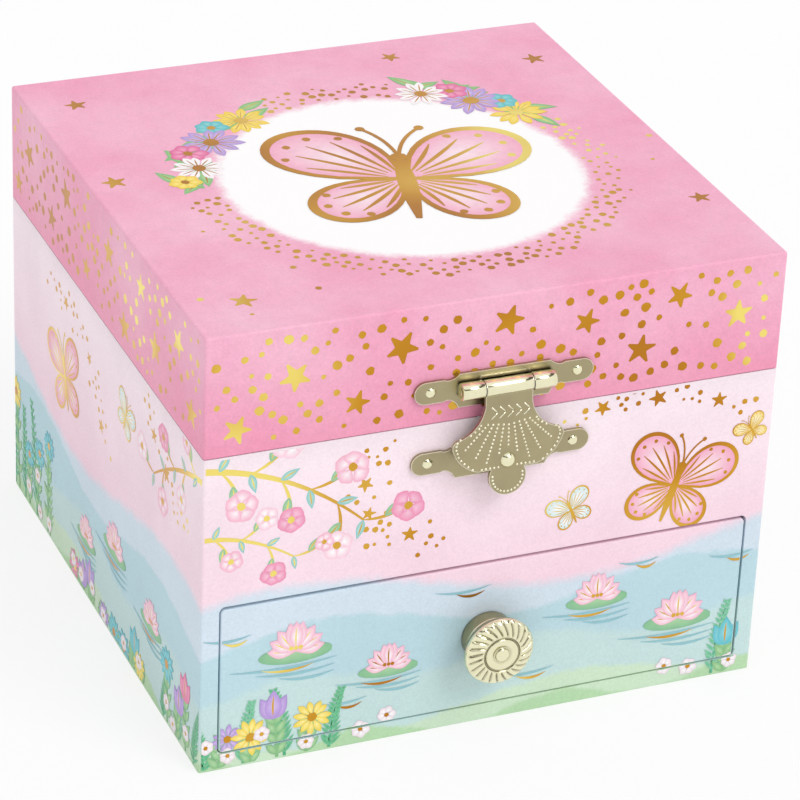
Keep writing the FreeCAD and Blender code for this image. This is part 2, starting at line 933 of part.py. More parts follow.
def screw_down(x, y, z_top, radius, head_radius, head_height, bite):
    """A slotted screw whose head sits on z_top and whose shank goes down."""
    shank = rod(radius, V(x, y, z_top - bite), AXIS_Z, bite)
    head = rod(head_radius, V(x, y, z_top), AXIS_Z, head_height)
    slot = block(
        x - head_radius, x + head_radius, y - 0.2, y + 0.2, z_top + head_height / 2, z_top + head_height
    )
    return shank.fuse(head).cut(slot).removeSplitter()


def movement_screws():
    """The comb's screws and the four that hold the frame to the base."""
    x0, x1 = comb_base_x()
    span = comb_notes * note_pitch
    screws = [
        screw_down(
            (x0 + x1) / 2,
            comb_y + span * (k + 0.5) / comb_screw_count,
            comb_bottom + comb_thick,
            comb_screw_radius,
            comb_screw_head_radius,
            comb_screw_head_height,
            comb_screw_bite,
        )
        for k in range(comb_screw_count)
    ]
    inset = frame_screw_head_radius + 0.6
    for x in (-frame_half_width + inset, frame_half_width - inset):
        for y in (plate_inside_front + inset, plate_inside_rear - inset):
            screws.append(
                screw_down(
                    x,
                    y,
                    frame_floor,
                    frame_screw_radius,
                    frame_screw_head_radius,
                    frame_screw_head_height,
                    frame_screw_bite,
                )
            )
    return Part.makeCompound(screws)


# Spring barrel and winding


def great_wheel():
    wheel = spur_gear(great_teeth, 0, barrel_x, train_height, great_y, great_width)
    bore = rod(arbor_radius + gear_running_gap, V(barrel_x, great_y, train_height), AXIS_Y, great_width)
    return wheel.cut(bore)


def spring_barrel():
    start = V(barrel_x, barrel_y, train_height)
    drum = rod(barrel_radius, start, AXIS_Y, barrel_length)
    hollow = rod(barrel_radius - barrel_wall, start, AXIS_Y, barrel_length - barrel_wall)
    bore = rod(arbor_radius + gear_running_gap, start, AXIS_Y, barrel_length)
    return drum.cut(hollow).cut(bore)


def mainspring():
    """A strip wound in half turns about two centres, one turn widening by the pitch."""
    first = barrel_radius - barrel_wall - 0.4 - mainspring_strip - mainspring_turns * mainspring_pitch
    y0 = barrel_y + mainspring_side_gap
    width = barrel_length - barrel_wall - 2 * mainspring_side_gap

    def boundary(extra):
        edges = []
        for k in range(2 * mainspring_turns):
            side = 1 if k % 2 == 0 else -1
            centre = barrel_x + (0 if k % 2 == 0 else mainspring_pitch / 2)
            r = first + extra + k * mainspring_pitch / 2
            edges.append(
                Part.Arc(
                    V(centre + side * r, y0, train_height),
                    V(centre, y0, train_height + side * r),
                    V(centre - side * r, y0, train_height),
                ).toShape()
            )
        return edges

    inner = boundary(0)
    outer = boundary(mainspring_strip)
    caps = [
        Part.makeLine(inner[0].valueAt(inner[0].FirstParameter), outer[0].valueAt(outer[0].FirstParameter)),
        Part.makeLine(inner[-1].valueAt(inner[-1].LastParameter), outer[-1].valueAt(outer[-1].LastParameter)),
    ]
    wire = Part.Wire(Part.__sortEdges__(inner + outer + caps))
    return Part.Face(wire).extrude(V(0, width, 0))


def winding_arbor():
    """The arbor from the front plate to the key, with its ratchet wheel behind the barrel."""
    end = back_y + key_off_back + key_stem_length - key_blind
    arbor = rod(arbor_radius, V(barrel_x, frame_front_y, train_height), AXIS_Y, end - frame_front_y)
    corners = []
    for k in range(ratchet_teeth):
        for radius, share in ((ratchet_radius, 0.0), (ratchet_radius - ratchet_depth, 0.12)):
            angle = 2 * math.pi * (k + share) / ratchet_teeth
            corners.append(
                (barrel_x + radius * math.cos(angle), train_height + radius * math.sin(angle))
            )
    ratchet = outline_face(corners, "y", ratchet_y).extrude(V(0, ratchet_thick, 0))
    return arbor.fuse(ratchet).removeSplitter()


def ratchet_click():
    """The click on its post in the rear plate; its tip stands just clear of the ratchet."""
    angle = math.radians(click_post_direction)
    outward = V(math.cos(angle), 0, math.sin(angle))
    axis = V(barrel_x, ratchet_y, train_height)
    post_at = axis + outward * click_post_distance
    post = rod(click_post_radius, post_at, AXIS_Y, plate_inside_rear - ratchet_y)
    across = outward.cross(AXIS_Y) * (click_width / 2)
    tip = axis + outward * (ratchet_radius + click_gap)
    corners = [post_at + across, post_at - across, tip - across * 0.3, tip + across * 0.3]
    arm = Part.Face(Part.makePolygon(corners + corners[:1])).extrude(V(0, ratchet_thick, 0))
    return post.fuse(arm).removeSplitter()


def winding_key():
    """A stem over the arbor's end and a flat two-winged handle."""
    y0 = back_y + key_off_back
    y1 = y0 + key_stem_length
    stem = rod(key_stem_radius, V(barrel_x, y0, train_height), AXIS_Y, key_stem_length)
    half = key_wing_thick / 2
    wing_y = y1 + key_wing_radius - 1.2
    web = block(
        barrel_x - key_wing_offset,
        barrel_x + key_wing_offset,
        y1 - 1.2,
        wing_y + 1.0,
        train_height - half,
        train_height + half,
    )
    key = stem.fuse(web)
    for side in (-1, 1):
        centre = V(barrel_x + side * key_wing_offset, wing_y, train_height - half)
        key = key.fuse(rod(key_wing_radius, centre, AXIS_Z, key_wing_thick))
    for side in (-1, 1):
        centre = V(barrel_x + side * key_wing_offset, wing_y, train_height - half)
        key = key.cut(rod(key_eye_radius, centre, AXIS_Z, key_wing_thick))
    return key.cut(winding_arbor()).removeSplitter()


# Pin cylinder


def pin_cylinder():
    """A drum whose pins pluck the comb: their turns come from a stepped count, spread over the drum."""
    drum = rod(cylinder_radius, V(cylinder_x, cylinder_y, train_height), AXIS_Y, cylinder_length)
    pins = []
    for note in range(comb_notes):
        y = comb_y + (note + 0.5) * note_pitch
        for k in range(pins_per_note):
            angle = math.radians((note * 47 + k * 131) % 360)
            direction = V(math.cos(angle), 0, math.sin(angle))
            start = V(cylinder_x, y, train_height) + direction * (cylinder_radius - 0.3)
            pins.append(rod(pin_radius, start, direction, pin_reach + 0.3))
    bore = rod(cylinder_bore_radius, V(cylinder_x, cylinder_y, train_height), AXIS_Y, cylinder_length)
    return drum.multiFuse(pins).cut(bore)


def cylinder_arbor():
    """The drum's arbor, with its pinion cut on it."""
    phase = math.pi + math.pi / pinion_teeth
    pinion = spur_gear(pinion_teeth, phase, cylinder_x, train_height, great_y - 0.5, pinion_width)
    shaft = rod(cylinder_bore_radius, V(cylinder_x, frame_front_y, train_height), AXIS_Y, frame_depth)
    return shaft.fuse(pinion).removeSplitter()


def cylinder_wheel():
    phase = math.radians(fly_direction)
    wheel = spur_gear(wheel_teeth, phase, cylinder_x, train_height, wheel_y, wheel_width)
    hub = rod(wheel_hub_radius, V(cylinder_x, cylinder_end, train_height), AXIS_Y, wheel_y - cylinder_end)
    bore_length = wheel_y + wheel_width - cylinder_end
    bore = rod(cylinder_bore_radius, V(cylinder_x, cylinder_end, train_height), AXIS_Y, bore_length)
    return wheel.fuse(hub).cut(bore)


# Air-brake fly


def fly_arbor():
    """The fly's arbor with its pinion and brake disc."""
    phase = math.radians(fly_direction) + math.pi + math.pi / fly_teeth
    shaft = rod(fly_arbor_radius, V(fly_x, frame_front_y, fly_z), AXIS_Y, frame_depth)
    pinion = spur_gear(fly_teeth, phase, fly_x, fly_z, wheel_y - 0.3, wheel_width + 0.6)
    disc = rod(brake_radius, V(fly_x, brake_y, fly_z), AXIS_Y, brake_thick)
    return shaft.multiFuse([pinion, disc]).removeSplitter()


def fly_fan():
    y0 = cylinder_y + (cylinder_length - fly_fan_length) / 2
    hub = rod(fly_hub_radius, V(fly_x, y0, fly_z), AXIS_Y, fly_fan_length)
    half = fly_blade_thick / 2
    blade = block(
        fly_x - fly_fan_radius, fly_x + fly_fan_radius, y0, y0 + fly_fan_length, fly_z - half, fly_z + half
    )
    bore = rod(fly_arbor_radius, V(fly_x, y0, fly_z), AXIS_Y, fly_fan_length)
    return hub.fuse(blade).cut(bore).removeSplitter()


# Stop wire


def stop_wire():
    """A bent wire: a foot by the brake disc, a jog over the frame, and a leg up to the lid."""
    low = V(stop_x, stop_low_y, stop_wire_foot)
    knee = V(stop_x, stop_low_y, stop_wire_jog_height)
    elbow = V(stop_x, stop_high_y, stop_wire_jog_height)
    top = V(stop_x, stop_high_y, case_height)
    wire = rod(stop_wire_radius, low, AXIS_Z, knee.z - low.z)
    wire = wire.fuse(rod(stop_wire_radius, knee, AXIS_Y, elbow.y - knee.y))
    wire = wire.fuse(rod(stop_wire_radius, elbow, AXIS_Z, top.z - elbow.z))
    for bend in (knee, elbow):
        wire = wire.fuse(Part.makeSphere(stop_wire_radius, bend))
    return wire.removeSplitter()


# Spindle and dancer


def crown_wheel():
    """A wheel with teeth underneath, driven by the top of the cylinder's wheel."""
    radius = pitch_radius["crown"] + crown_tooth_length / 2
    centre = V(cylinder_x, spindle_y, 0)
    disc = rod(radius, centre + V(0, 0, crown_root_z), AXIS_Z, crown_thick)
    half_root = crown_tooth_half_width + 0.15
    half_tip = crown_tooth_half_width - 0.1
    tip_z = crown_pitch_z - 0.8 * gear_module
    y0 = spindle_y + radius - crown_tooth_length
    corners = [
        (cylinder_x - half_root, crown_root_z),
        (cylinder_x + half_root, crown_root_z),
        (cylinder_x + half_tip, tip_z),
        (cylinder_x - half_tip, tip_z),
    ]
    tooth = outline_face(corners, "y", y0).extrude(V(0, crown_tooth_length - 0.1, 0))
    tooth = tooth.rotated(centre, AXIS_Z, 180.0 / crown_teeth)
    wheel = disc.multiFuse(ring_of(tooth, crown_teeth, centre, AXIS_Z))
    return wheel.cut(rod(spindle_radius, centre + V(0, 0, crown_root_z), AXIS_Z, crown_thick))


def spindle():
    shaft = rod(
        spindle_radius, V(cylinder_x, spindle_y, crown_root_z), AXIS_Z, stand_bottom - crown_root_z
    )
    stand = rod(stand_radius, V(cylinder_x, spindle_y, stand_bottom), AXIS_Z, stand_thick)
    rim = edges_where(stand, lambda p: near(p.z, stand_top))
    stand = stand.makeFillet(stand_thick / 2, rim)
    return shaft.fuse(stand).removeSplitter()


def biarc(p0, t0, p1, t1):
    """Two arcs that leave p0 along t0 and reach p1 along t1."""
    gap = p1 - p0
    both = t0 + t1
    a = 2 * (t0.dot(t1) - 1)
    b = -2 * gap.dot(both)
    c = gap.dot(gap)
    d = -c / b if abs(a) < 1e-9 else (-b - math.sqrt(b * b - 4 * a * c)) / (2 * a)
    joint = (p0 + t0 * d + p1 - t1 * d) * 0.5
    arcs = []
    for start, corner, end in ((p0, p0 + t0 * d, joint), (joint, p1 - t1 * d, p1)):
        middle = (start + end) * 0.5
        half = math.atan2((corner - middle).Length, (end - middle).Length)
        crown = middle + (corner - middle) * (math.tan(half / 2) / math.tan(half))
        arcs.append(Part.Arc(start, crown, end).toShape())
    return arcs


def dancer_spring():
    """The springy foot: one helix of round wire between the stand and the foot disc."""
    z0 = stand_top + spring_wire - spring_seat
    centre = V(cylinder_x, spindle_y, 0)
    slope = spring_pitch / (2 * math.pi * spring_radius)
    points = []
    tangents = []
    for k in range(4 * spring_turns + 1):
        angle = k * math.pi / 2
        points.append(
            centre
            + V(spring_radius * math.cos(angle), spring_radius * math.sin(angle), z0 + k * spring_pitch / 4)
        )
        tangents.append(V(-math.sin(angle), math.cos(angle), slope).normalize())
    edges = []
    for k in range(4 * spring_turns):
        edges += biarc(points[k], tangents[k], points[k + 1], tangents[k + 1])
    path = Part.Wire(edges)
    ring = Part.Wire(Part.makeCircle(spring_wire, points[0], tangents[0]))
    coil = path.makePipeShell([ring], True, False)
    print("spring: least gap to itself", round(least_gap(edges), 3), "mm")
    return coil


def least_gap(edges):
    """The least space between turns of the spring, from points along its centre line."""
    points = [p for e in edges for p in e.discretize(9)[:-1]]
    turn = len(points) // spring_turns
    apart = [
        (points[b] - points[a]).Length
        for a in range(len(points))
        for b in range(a + turn // 2, len(points))
    ]
    return min(apart) - 2 * spring_wire


def limb(stations):
    """A tapering limb through round sections: each station is a centre and a radius."""
    rings = [Part.Wire(Part.makeCircle(r, c, AXIS_Z)) for c, r in stations]
    return Part.makeLoft(rings, True, False)


def dancer_figure():
    """A moulded dancer on points, arms raised in a ring over the head."""
    h = figure_height
    axis = V(cylinder_x, spindle_y, foot_top)

    def at(x, z):
        return axis + V(x * h, 0, z * h)

    foot = rod(foot_disc_radius, V(cylinder_x, spindle_y, foot_bottom), AXIS_Z, foot_disc_thick)
    hip_share = (hip_z - foot_top) / h
    pieces = []
    for side in (-1, 1):
        pieces.append(
            limb(
                [
                    (at(side * 0.022, -0.005), 0.013 * h),
                    (at(side * 0.024, 0.07), 0.020 * h),
                    (at(side * 0.027, 0.17), 0.028 * h),
                    (at(side * 0.028, 0.23), 0.024 * h),
                    (at(side * 0.030, hip_share - 0.02), 0.030 * h),
                ]
            )
        )
    hips = [
        (at(0, hip_share - 0.03), 0.9 * hip_radius),
        (at(0, hip_share), hip_radius),
    ]
    pieces.append(limb(hips))
    bodice = [
        (at(0, hip_share), tutu_waist_radius - 0.05),
        (at(0, hip_share + 0.05), 0.044 * h),
        (at(0, hip_share + 0.13), 0.058 * h),
        (at(0, hip_share + 0.19), 0.046 * h),
        (at(0, hip_share + 0.215), 0.022 * h),
        (at(0, hip_share + 0.27), 0.020 * h),
    ]
    pieces.append(limb(bodice))
    head_centre = at(0, hip_share + 0.325)
    pieces.append(Part.makeSphere(0.062 * h, head_centre))
    pieces.append(Part.makeSphere(0.034 * h, head_centre + V(0, 0.02 * h, 0.072 * h)))
    arm_radius = 0.0165 * h
    hand_z = 1.0 - arm_radius / h
    for side in (-1, 1):
        shoulder = at(side * 0.04, hip_share + 0.18)
        elbow = at(side * 0.145, hip_share + 0.36)
        hand = at(side * 0.03, hand_z)
        path = Part.Wire([Part.Arc(shoulder, elbow, hand).toShape()])
        start = path.Edges[0]
        ring = Part.Wire(Part.makeCircle(arm_radius, shoulder, start.tangentAt(start.FirstParameter)))
        pieces.append(path.makePipeShell([ring], True, True))
        pieces.append(Part.makeSphere(arm_radius, hand))
    return foot.multiFuse(pieces).removeSplitter()


def dancer_tutu():
    """A stiff pleated skirt: a fan of flat folds between the waist and a rippled hem."""
    count = 2 * tutu_pleats
    centre = V(cylinder_x, spindle_y, hip_z)

    def ring(radius, drop, ripple, lower):
        points = []
        for k in range(count):
            angle = math.pi * k / tutu_pleats
            z = -drop + (ripple if k % 2 else -ripple) + (0 if lower else tutu_thick)
            points.append(centre + V(radius * math.cos(angle), radius * math.sin(angle), z))
        return points

    waist = tutu_waist_radius
    seat = hip_radius + 0.1
    rings = [
        ring(waist, 0, 0, True),
        ring(seat, 0, 0, True),
        ring(tutu_radius, tutu_droop, tutu_ripple, True),
        ring(tutu_radius, tutu_droop, tutu_ripple, False),
        ring(seat, 0, 0, False),
        ring(waist, 0, 0, False),
    ]
    faces = []
    for a, b in zip(rings, rings[1:] + rings[:1]):
        for k in range(count):
            n = (k + 1) % count
            for corners in ((a[k], b[k], b[n]), (a[k], b[n], a[n])):
                faces.append(Part.Face(Part.makePolygon([*corners, corners[0]])))
    return Part.Solid(Part.Shell(faces))


def hinge_leaves():
    names = {-1: "left", 1: "right"}
    return {
        f"hinge_{names[side]}_{part}_leaf": hinge_leaf(side * hinge_half_spacing, part)
        for side in (-1, 1)
        for part in ("case", "lid")
    }


def all_parts():
    parts = {
        "base_board": base_board(),
        "left_wall": side_wall(-1),
        "right_wall": side_wall(1),
        "back_wall": back_wall(),
        "front_frame": front_frame(),
        "shelf_board": shelf_board(),
        "bay_divider": bay_divider(),
        "tray_lining": tray_lining(),
        "lid_top": lid_top(),
        "lid_front_rail": lid_front_rail(),
        "lid_back_rail": lid_back_rail(),
        "lid_left_rail": lid_side_rail(-1),
        "lid_right_rail": lid_side_rail(1),
        "mirror_frame": mirror_frame(),
        "lid_mirror": lid_mirror(),
        "lid_stop_block": lid_stop_block(),
        "hinge_pins": hinge_pins(),
        "hinge_case_nails": hinge_nails("case"),
        "hinge_lid_nails": hinge_nails("lid"),
        "clasp_lid_plate": clasp_lid_plate(),
        "clasp_pin": clasp_pin(),
        "clasp_hasp": clasp_hasp(),
        "clasp_stud": clasp_stud(),
        "clasp_case_plate": clasp_case_plate(),
        "clasp_lid_nails": clasp_lid_nails(),
        "clasp_case_nails": clasp_case_nails(),
        "drawer_front": drawer_front(),
        "drawer_left_side": drawer_side(-1),
        "drawer_right_side": drawer_side(1),
        "drawer_back": drawer_back(),
        "drawer_floor": drawer_floor(),
        "drawer_lining": drawer_lining(),
        "drawer_knob": drawer_knob(),
        "knob_screw": knob_screw(),
        "movement_frame": movement_frame(),
        "spindle_bridge": spindle_bridge(),
        "comb_block": comb_block(),
        "music_comb": music_comb(),
        "movement_screws": movement_screws(),
        "great_wheel": great_wheel(),
        "spring_barrel": spring_barrel(),
        "mainspring": mainspring(),
        "winding_arbor": winding_arbor(),
        "ratchet_click": ratchet_click(),
        "winding_key": winding_key(),
        "pin_cylinder": pin_cylinder(),
        "cylinder_arbor": cylinder_arbor(),
        "cylinder_wheel": cylinder_wheel(),
        "fly_arbor": fly_arbor(),
        "fly_fan": fly_fan(),
        "stop_wire": stop_wire(),
        "crown_wheel": crown_wheel(),
        "spindle": spindle(),
        "dancer_spring": dancer_spring(),
        "dancer_figure": dancer_figure(),
        "dancer_tutu": dancer_tutu(),
    }
    parts.update(hinge_leaves())
    return parts


def main():
    os.makedirs("parts", exist_ok=True)
    for name, shape in all_parts().items():
        shape.exportStep(f"parts/{name}.step")


main()
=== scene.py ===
# %% [markdown]
# # A musical jewellery box, dressed in Blender
# The box is made as greyboard wrapped in printed paper, with a stamped brass-coloured clasp and one
# drawer. The photograph shows it closed, so the mirror in the lid and the small dancer on a spring
# foot are guesses. The solids come from CAD and stay as they are. This lesson gives them their
# papers, inks, foil, metal and tulle.

# %% Load the frame
import json
import math
import random

import bmesh
import bpy
from mathutils import Matrix, Vector, noise


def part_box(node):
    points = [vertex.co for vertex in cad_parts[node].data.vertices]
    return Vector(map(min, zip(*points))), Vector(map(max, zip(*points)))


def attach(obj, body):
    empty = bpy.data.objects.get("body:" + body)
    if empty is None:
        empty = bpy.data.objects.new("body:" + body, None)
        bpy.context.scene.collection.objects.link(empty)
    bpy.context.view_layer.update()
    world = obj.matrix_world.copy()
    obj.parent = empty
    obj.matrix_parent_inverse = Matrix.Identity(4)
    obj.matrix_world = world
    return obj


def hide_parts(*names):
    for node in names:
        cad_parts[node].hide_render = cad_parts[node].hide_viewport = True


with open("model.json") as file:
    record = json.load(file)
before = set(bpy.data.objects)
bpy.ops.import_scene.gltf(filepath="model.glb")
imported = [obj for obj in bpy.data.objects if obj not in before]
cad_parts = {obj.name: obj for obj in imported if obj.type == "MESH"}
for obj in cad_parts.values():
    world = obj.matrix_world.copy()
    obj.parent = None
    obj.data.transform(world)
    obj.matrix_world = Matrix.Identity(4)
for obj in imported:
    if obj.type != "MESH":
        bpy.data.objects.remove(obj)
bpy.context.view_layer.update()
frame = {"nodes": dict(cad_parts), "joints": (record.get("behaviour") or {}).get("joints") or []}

nodes = frame["nodes"]
scene = bpy.context.scene
MM = 0.001
joints = {joint["name"]: joint for joint in frame["joints"]}
pin = Vector(joints["hasp_swing"]["pos_m"])

# %% [markdown]
# ## Camera
# The photograph looks down at the front left corner from about six and a half box widths away, so
# the lens is long. Place, target and roll were fitted to the corners of the box in the picture. A
# camera can be aimed with a constraint, but a matrix made of three directions also holds the roll.

# %% Camera
camera_place = Vector((-244.70, -577.00, 375.47)) * MM
look_at = Vector((5.066, 0.0996, 37.277)) * MM
camera_roll = math.radians(2.529)
ahead = (look_at - camera_place).normalized()
level = ahead.cross(Vector((0, 0, 1))).normalized()
above = level.cross(ahead)
camera_right = math.cos(camera_roll) * level + math.sin(camera_roll) * above
camera_up = math.cos(camera_roll) * above - math.sin(camera_roll) * level
camera_data = bpy.data.cameras.new("camera")
camera_data.sensor_fit = "HORIZONTAL"
camera_data.sensor_width = 36.0
camera_data.lens = 167.63
camera = bpy.data.objects.new("camera", camera_data)
directions = Matrix((camera_right, camera_up, -ahead)).transposed().to_4x4()
camera.matrix_world = Matrix.Translation(camera_place) @ directions
scene.collection.objects.link(camera)
scene.camera = camera
scene.view_settings.view_transform = "Standard"
print("camera", round((look_at - camera_place).length, 3), "m from its target")

# %% [markdown]
# ## Helpers for materials
# Colours are written as sRGB hex, as a colour picker shows them, and Blender's sockets want linear
# light, so one function converts. Another adds a node, sets it and links it, so that each material
# below reads as a list of what is layered on what.

# %% Helpers for materials
# The Mix node keeps its factor at place 0 and its two colours at places 6 and 7.
FACTOR, UNDER, OVER = 0, 6, 7
BLEND = {"data_type": "RGBA"}
TIMES = {"data_type": "RGBA", "blend_type": "MULTIPLY"}
SMOOTH = {"interpolation_type": "SMOOTHSTEP"}


def linear(hex_colour):
    """An sRGB hex colour as linear red, green, blue and alpha."""
    parts = [int(hex_colour[i : i + 2], 16) / 255 for i in (1, 3, 5)]
    return tuple(c / 12.92 if c <= 0.04045 else ((c + 0.055) / 1.055) ** 2.4 for c in parts) + (1.0,)


def socket_of(value):
    """A node's first output that is in use; anything else stays as it is."""
    if isinstance(value, bpy.types.Node):
        return next(output for output in value.outputs if output.enabled)
    return value


def add(tree, kind, inputs=None, stops=None, **settings):
    """Adds a node with its settings, its linked or plain inputs and, on a colour ramp, its stops."""
    node = tree.nodes.new("ShaderNode" + kind)
    for key, value in settings.items():
        setattr(node, key, value)
    for key, value in (inputs or {}).items():
        value = socket_of(value)
        if isinstance(value, bpy.types.NodeSocket):
            tree.links.new(value, node.inputs[key])
        else:
            node.inputs[key].default_value = value
    if stops:
        elements = node.color_ramp.elements
        while len(elements) < len(stops):
            elements.new(1.0)
        for element, (place, colour) in zip(elements, stops):
            element.position = place
            element.color = linear(colour)
    return node


def start_finish(name, **shader_values):
    """A new material with its shader, whose even values are set on it, and the object's coordinates."""
    material = bpy.data.materials.new(name)
    material.use_nodes = True
    tree = material.node_tree
    tree.nodes.clear()
    values = {key.replace("_", " "): value for key, value in shader_values.items()}
    shader = add(tree, "BsdfPrincipled", values)
    add(tree, "OutputMaterial", {"Surface": shader})
    return material, tree, shader, add(tree, "TexCoord").outputs["Object"]


def connect(tree, shader, **sources):
    """Links nodes to the shader's sockets, whose names are written with _ for a space."""
    for key, node in sources.items():
        tree.links.new(socket_of(node), shader.inputs[key.replace("_", " ")])


def per_mm(size):
    """The scale of a texture whose features are about this many millimetres across."""
    return 1.0 / (size * MM)


print("pink as linear light:", [round(c, 3) for c in linear("#f4b4cc")])

# %% [markdown]
# ## Studio
# The box stands on white with hardly a shadow. A wide white floor, an even white surround and one
# soft lamp from the front right above give that: the surround lights every side, and the lamp makes
# the top and front brighter than the left side, as in the picture. What the camera and shiny pieces
# see is white by the Light Path node, and the floor keeps a light shadow.

# %% Studio
floor_radius = 3.0
floor_mesh = bpy.data.meshes.new("floor")
floor_form = bmesh.new()
bmesh.ops.create_circle(floor_form, cap_ends=True, radius=floor_radius, segments=64)
floor_form.to_mesh(floor_mesh)
floor_form.free()
floor = bpy.data.objects.new("floor", floor_mesh)
scene.collection.objects.link(floor)
floor.location.z = -0.05 * MM


def seen_directly(tree):
    """The Light Path node, and a value of 1 on rays from the camera, a shiny surface or glass."""
    path = add(tree, "LightPath")
    seen = path.outputs["Is Camera Ray"]
    for kind in ("Is Glossy Ray", "Is Transmission Ray"):
        seen = add(tree, "Math", {0: seen, 1: path.outputs[kind]}, operation="MAXIMUM")
    return path, seen


floor_finish = bpy.data.materials.new("white_paper_sweep")
floor_finish.use_nodes = True
tree = floor_finish.node_tree
tree.nodes.clear()
# With no coordinates linked, a texture counts the whole floor as 1, so the scale is floor over fleck.
fleck = 24 * MM
grain = add(tree, "TexNoise", {"Scale": 2 * floor_radius / fleck, "Detail": 3.0})
paper = add(tree, "Mix", {FACTOR: grain, UNDER: linear("#f6f6f6"), OVER: linear("#fbfbfb")}, **BLEND)
lit = add(tree, "BsdfDiffuse", {"Color": paper})
glow = add(tree, "Emission", {"Color": (1, 1, 1, 1), "Strength": 1.0})
_, seen = seen_directly(tree)
share = add(tree, "Math", {0: seen, 1: 0.78}, operation="MULTIPLY")
both = add(tree, "MixShader", {0: share, 1: lit, 2: glow})
add(tree, "OutputMaterial", {"Surface": both})
floor_mesh.materials.append(floor_finish)

world = bpy.data.worlds.new("white_surround")
scene.world = world
world.use_nodes = True
tree = world.node_tree
tree.nodes.clear()
path, seen = seen_directly(tree)
strength = add(tree, "MapRange", {"Value": seen, "To Min": 0.79, "To Max": 1.0})
# Polished metal needs something darker to mirror, so its rays meet a grey band high up in the white.
grey_band = [(0.56, "#ffffff"), (0.62, "#45423a"), (0.74, "#4d4a41"), (0.80, "#ffffff")]
aim = add(tree, "SeparateXYZ", {0: add(tree, "TexCoord").outputs["Generated"]})
band = add(tree, "ValToRGB", {"Fac": aim.outputs["Z"]}, grey_band)
tint = add(tree, "Mix", {FACTOR: path.outputs["Is Glossy Ray"], UNDER: (1, 1, 1, 1), OVER: band}, **BLEND)
surround = add(tree, "Background", {"Color": tint, "Strength": strength})
add(tree, "OutputWorld", {"Surface": surround})

lamp_data = bpy.data.lights.new("soft_lamp", "SUN")
lamp_data.energy = 0.9
lamp_data.angle = math.radians(28)
lamp = bpy.data.objects.new("soft_lamp", lamp_data)
lamp.rotation_euler = Vector((0.20, -0.36, 0.50)).to_track_quat("Z", "Y").to_euler()
scene.collection.objects.link(lamp)
print("studio: floor, surround and one soft lamp")

# %% [markdown]
# ## Printed wrapping papers
# Both papers are offset-printed art paper with a matt film, wrapped over greyboard and turned in.
# That gives the eye a soft sheen, a fine paper tooth and watercolour blotches in the print. The
# washes are drawn in the object's own coordinates, so they run on round the corners and across the
# drawer's edge without any unwrapping.

# %% Lid paper: mottled pink with a white round on the top
MATT_FILM = {"Roughness": 0.52, "IOR": 1.46}


def paper_tooth(tree, shader, place, spread):
    """The tooth of art paper: a shallow relief, and a tone that strays from 1 by up to spread."""
    speck = add(tree, "TexNoise", {"Vector": place, "Scale": per_mm(0.45), "Detail": 2.0})
    connect(tree, shader, Normal=add(tree, "Bump", {"Height": speck, "Strength": 0.2, "Distance": 0.08 * MM}))
    limits = {"From Min": 0.25, "From Max": 0.75, "To Min": 1 - spread, "To Max": 1 + spread}
    return add(tree, "MapRange", {"Value": speck, **limits})


# The white round, in millimetres, its rim bled by the wet brush.
round_x, round_y, round_radius = 1.5, -4.5, 34.5
round_place = (round_x * MM, round_y * MM, 0)
rim_start, rim_end = (round_radius + 0.3) * MM, (round_radius + 3.3) * MM
rim = {"From Min": rim_start, "From Max": rim_end, "To Min": 1.0, "To Max": 0.0}
lid_pinks = [(0.28, "#f19fbd"), (0.5, "#f3afc9"), (0.72, "#f6bed3")]

lid_paper, tree, shader, place = start_finish("matt_filmed_pink_paper", **MATT_FILM)
blotch = add(tree, "TexNoise", {"Vector": place, "Scale": per_mm(26), "Detail": 4.0, "Roughness": 0.6})
brush = add(tree, "TexNoise", {"Vector": place, "Scale": per_mm(2.4), "Detail": 4.0, "Roughness": 0.7})
pink = add(tree, "ValToRGB", {"Fac": blotch}, lid_pinks)
strokes = {"From Min": 0.25, "From Max": 0.75, "To Min": 0.955, "To Max": 1.045}
tooth = add(tree, "MapRange", {"Value": brush, **strokes})
fine = paper_tooth(tree, shader, place, 0.06)
tone = add(tree, "Math", {0: tooth, 1: fine}, operation="MULTIPLY")
# The wash is stronger towards the bottom of the rails.
depth = add(tree, "SeparateXYZ", {0: place})
fall = {"From Min": 81 * MM, "From Max": 64 * MM, "To Max": 0.62}
lower = add(tree, "MapRange", {"Value": depth.outputs["Z"], **fall})
deep = add(tree, "Mix", {FACTOR: lower, UNDER: pink, OVER: linear("#ed8cad")}, **BLEND)
toned = add(tree, "Mix", {FACTOR: 1.0, UNDER: deep, OVER: tone}, **TIMES)
flat = add(tree, "VectorMath", {0: place, 1: (1, 1, 0)}, operation="MULTIPLY")
away = add(tree, "VectorMath", {0: flat, 1: round_place}, operation="DISTANCE")
bleed = add(tree, "TexNoise", {"Vector": place, "Scale": per_mm(3.2), "Detail": 5.0, "Roughness": 0.75})
bled = add(tree, "Math", {0: bleed, 1: 4.2 * MM, 2: away}, operation="MULTIPLY_ADD")
white = add(tree, "MapRange", {"Value": bled, **rim}, **SMOOTH)
lid_colour = add(tree, "Mix", {FACTOR: white, UNDER: toned, OVER: linear("#fffdfd")}, **BLEND)
connect(tree, shader, Base_Color=lid_colour)
print(lid_paper.name)

# %% Case paper: a pale watercolour evening, from pink sky down to water and meadow
sky_pinks = [(0.0, "#f8d3e2"), (0.4, "#f8dce8"), (1.0, "#fcecf3")]
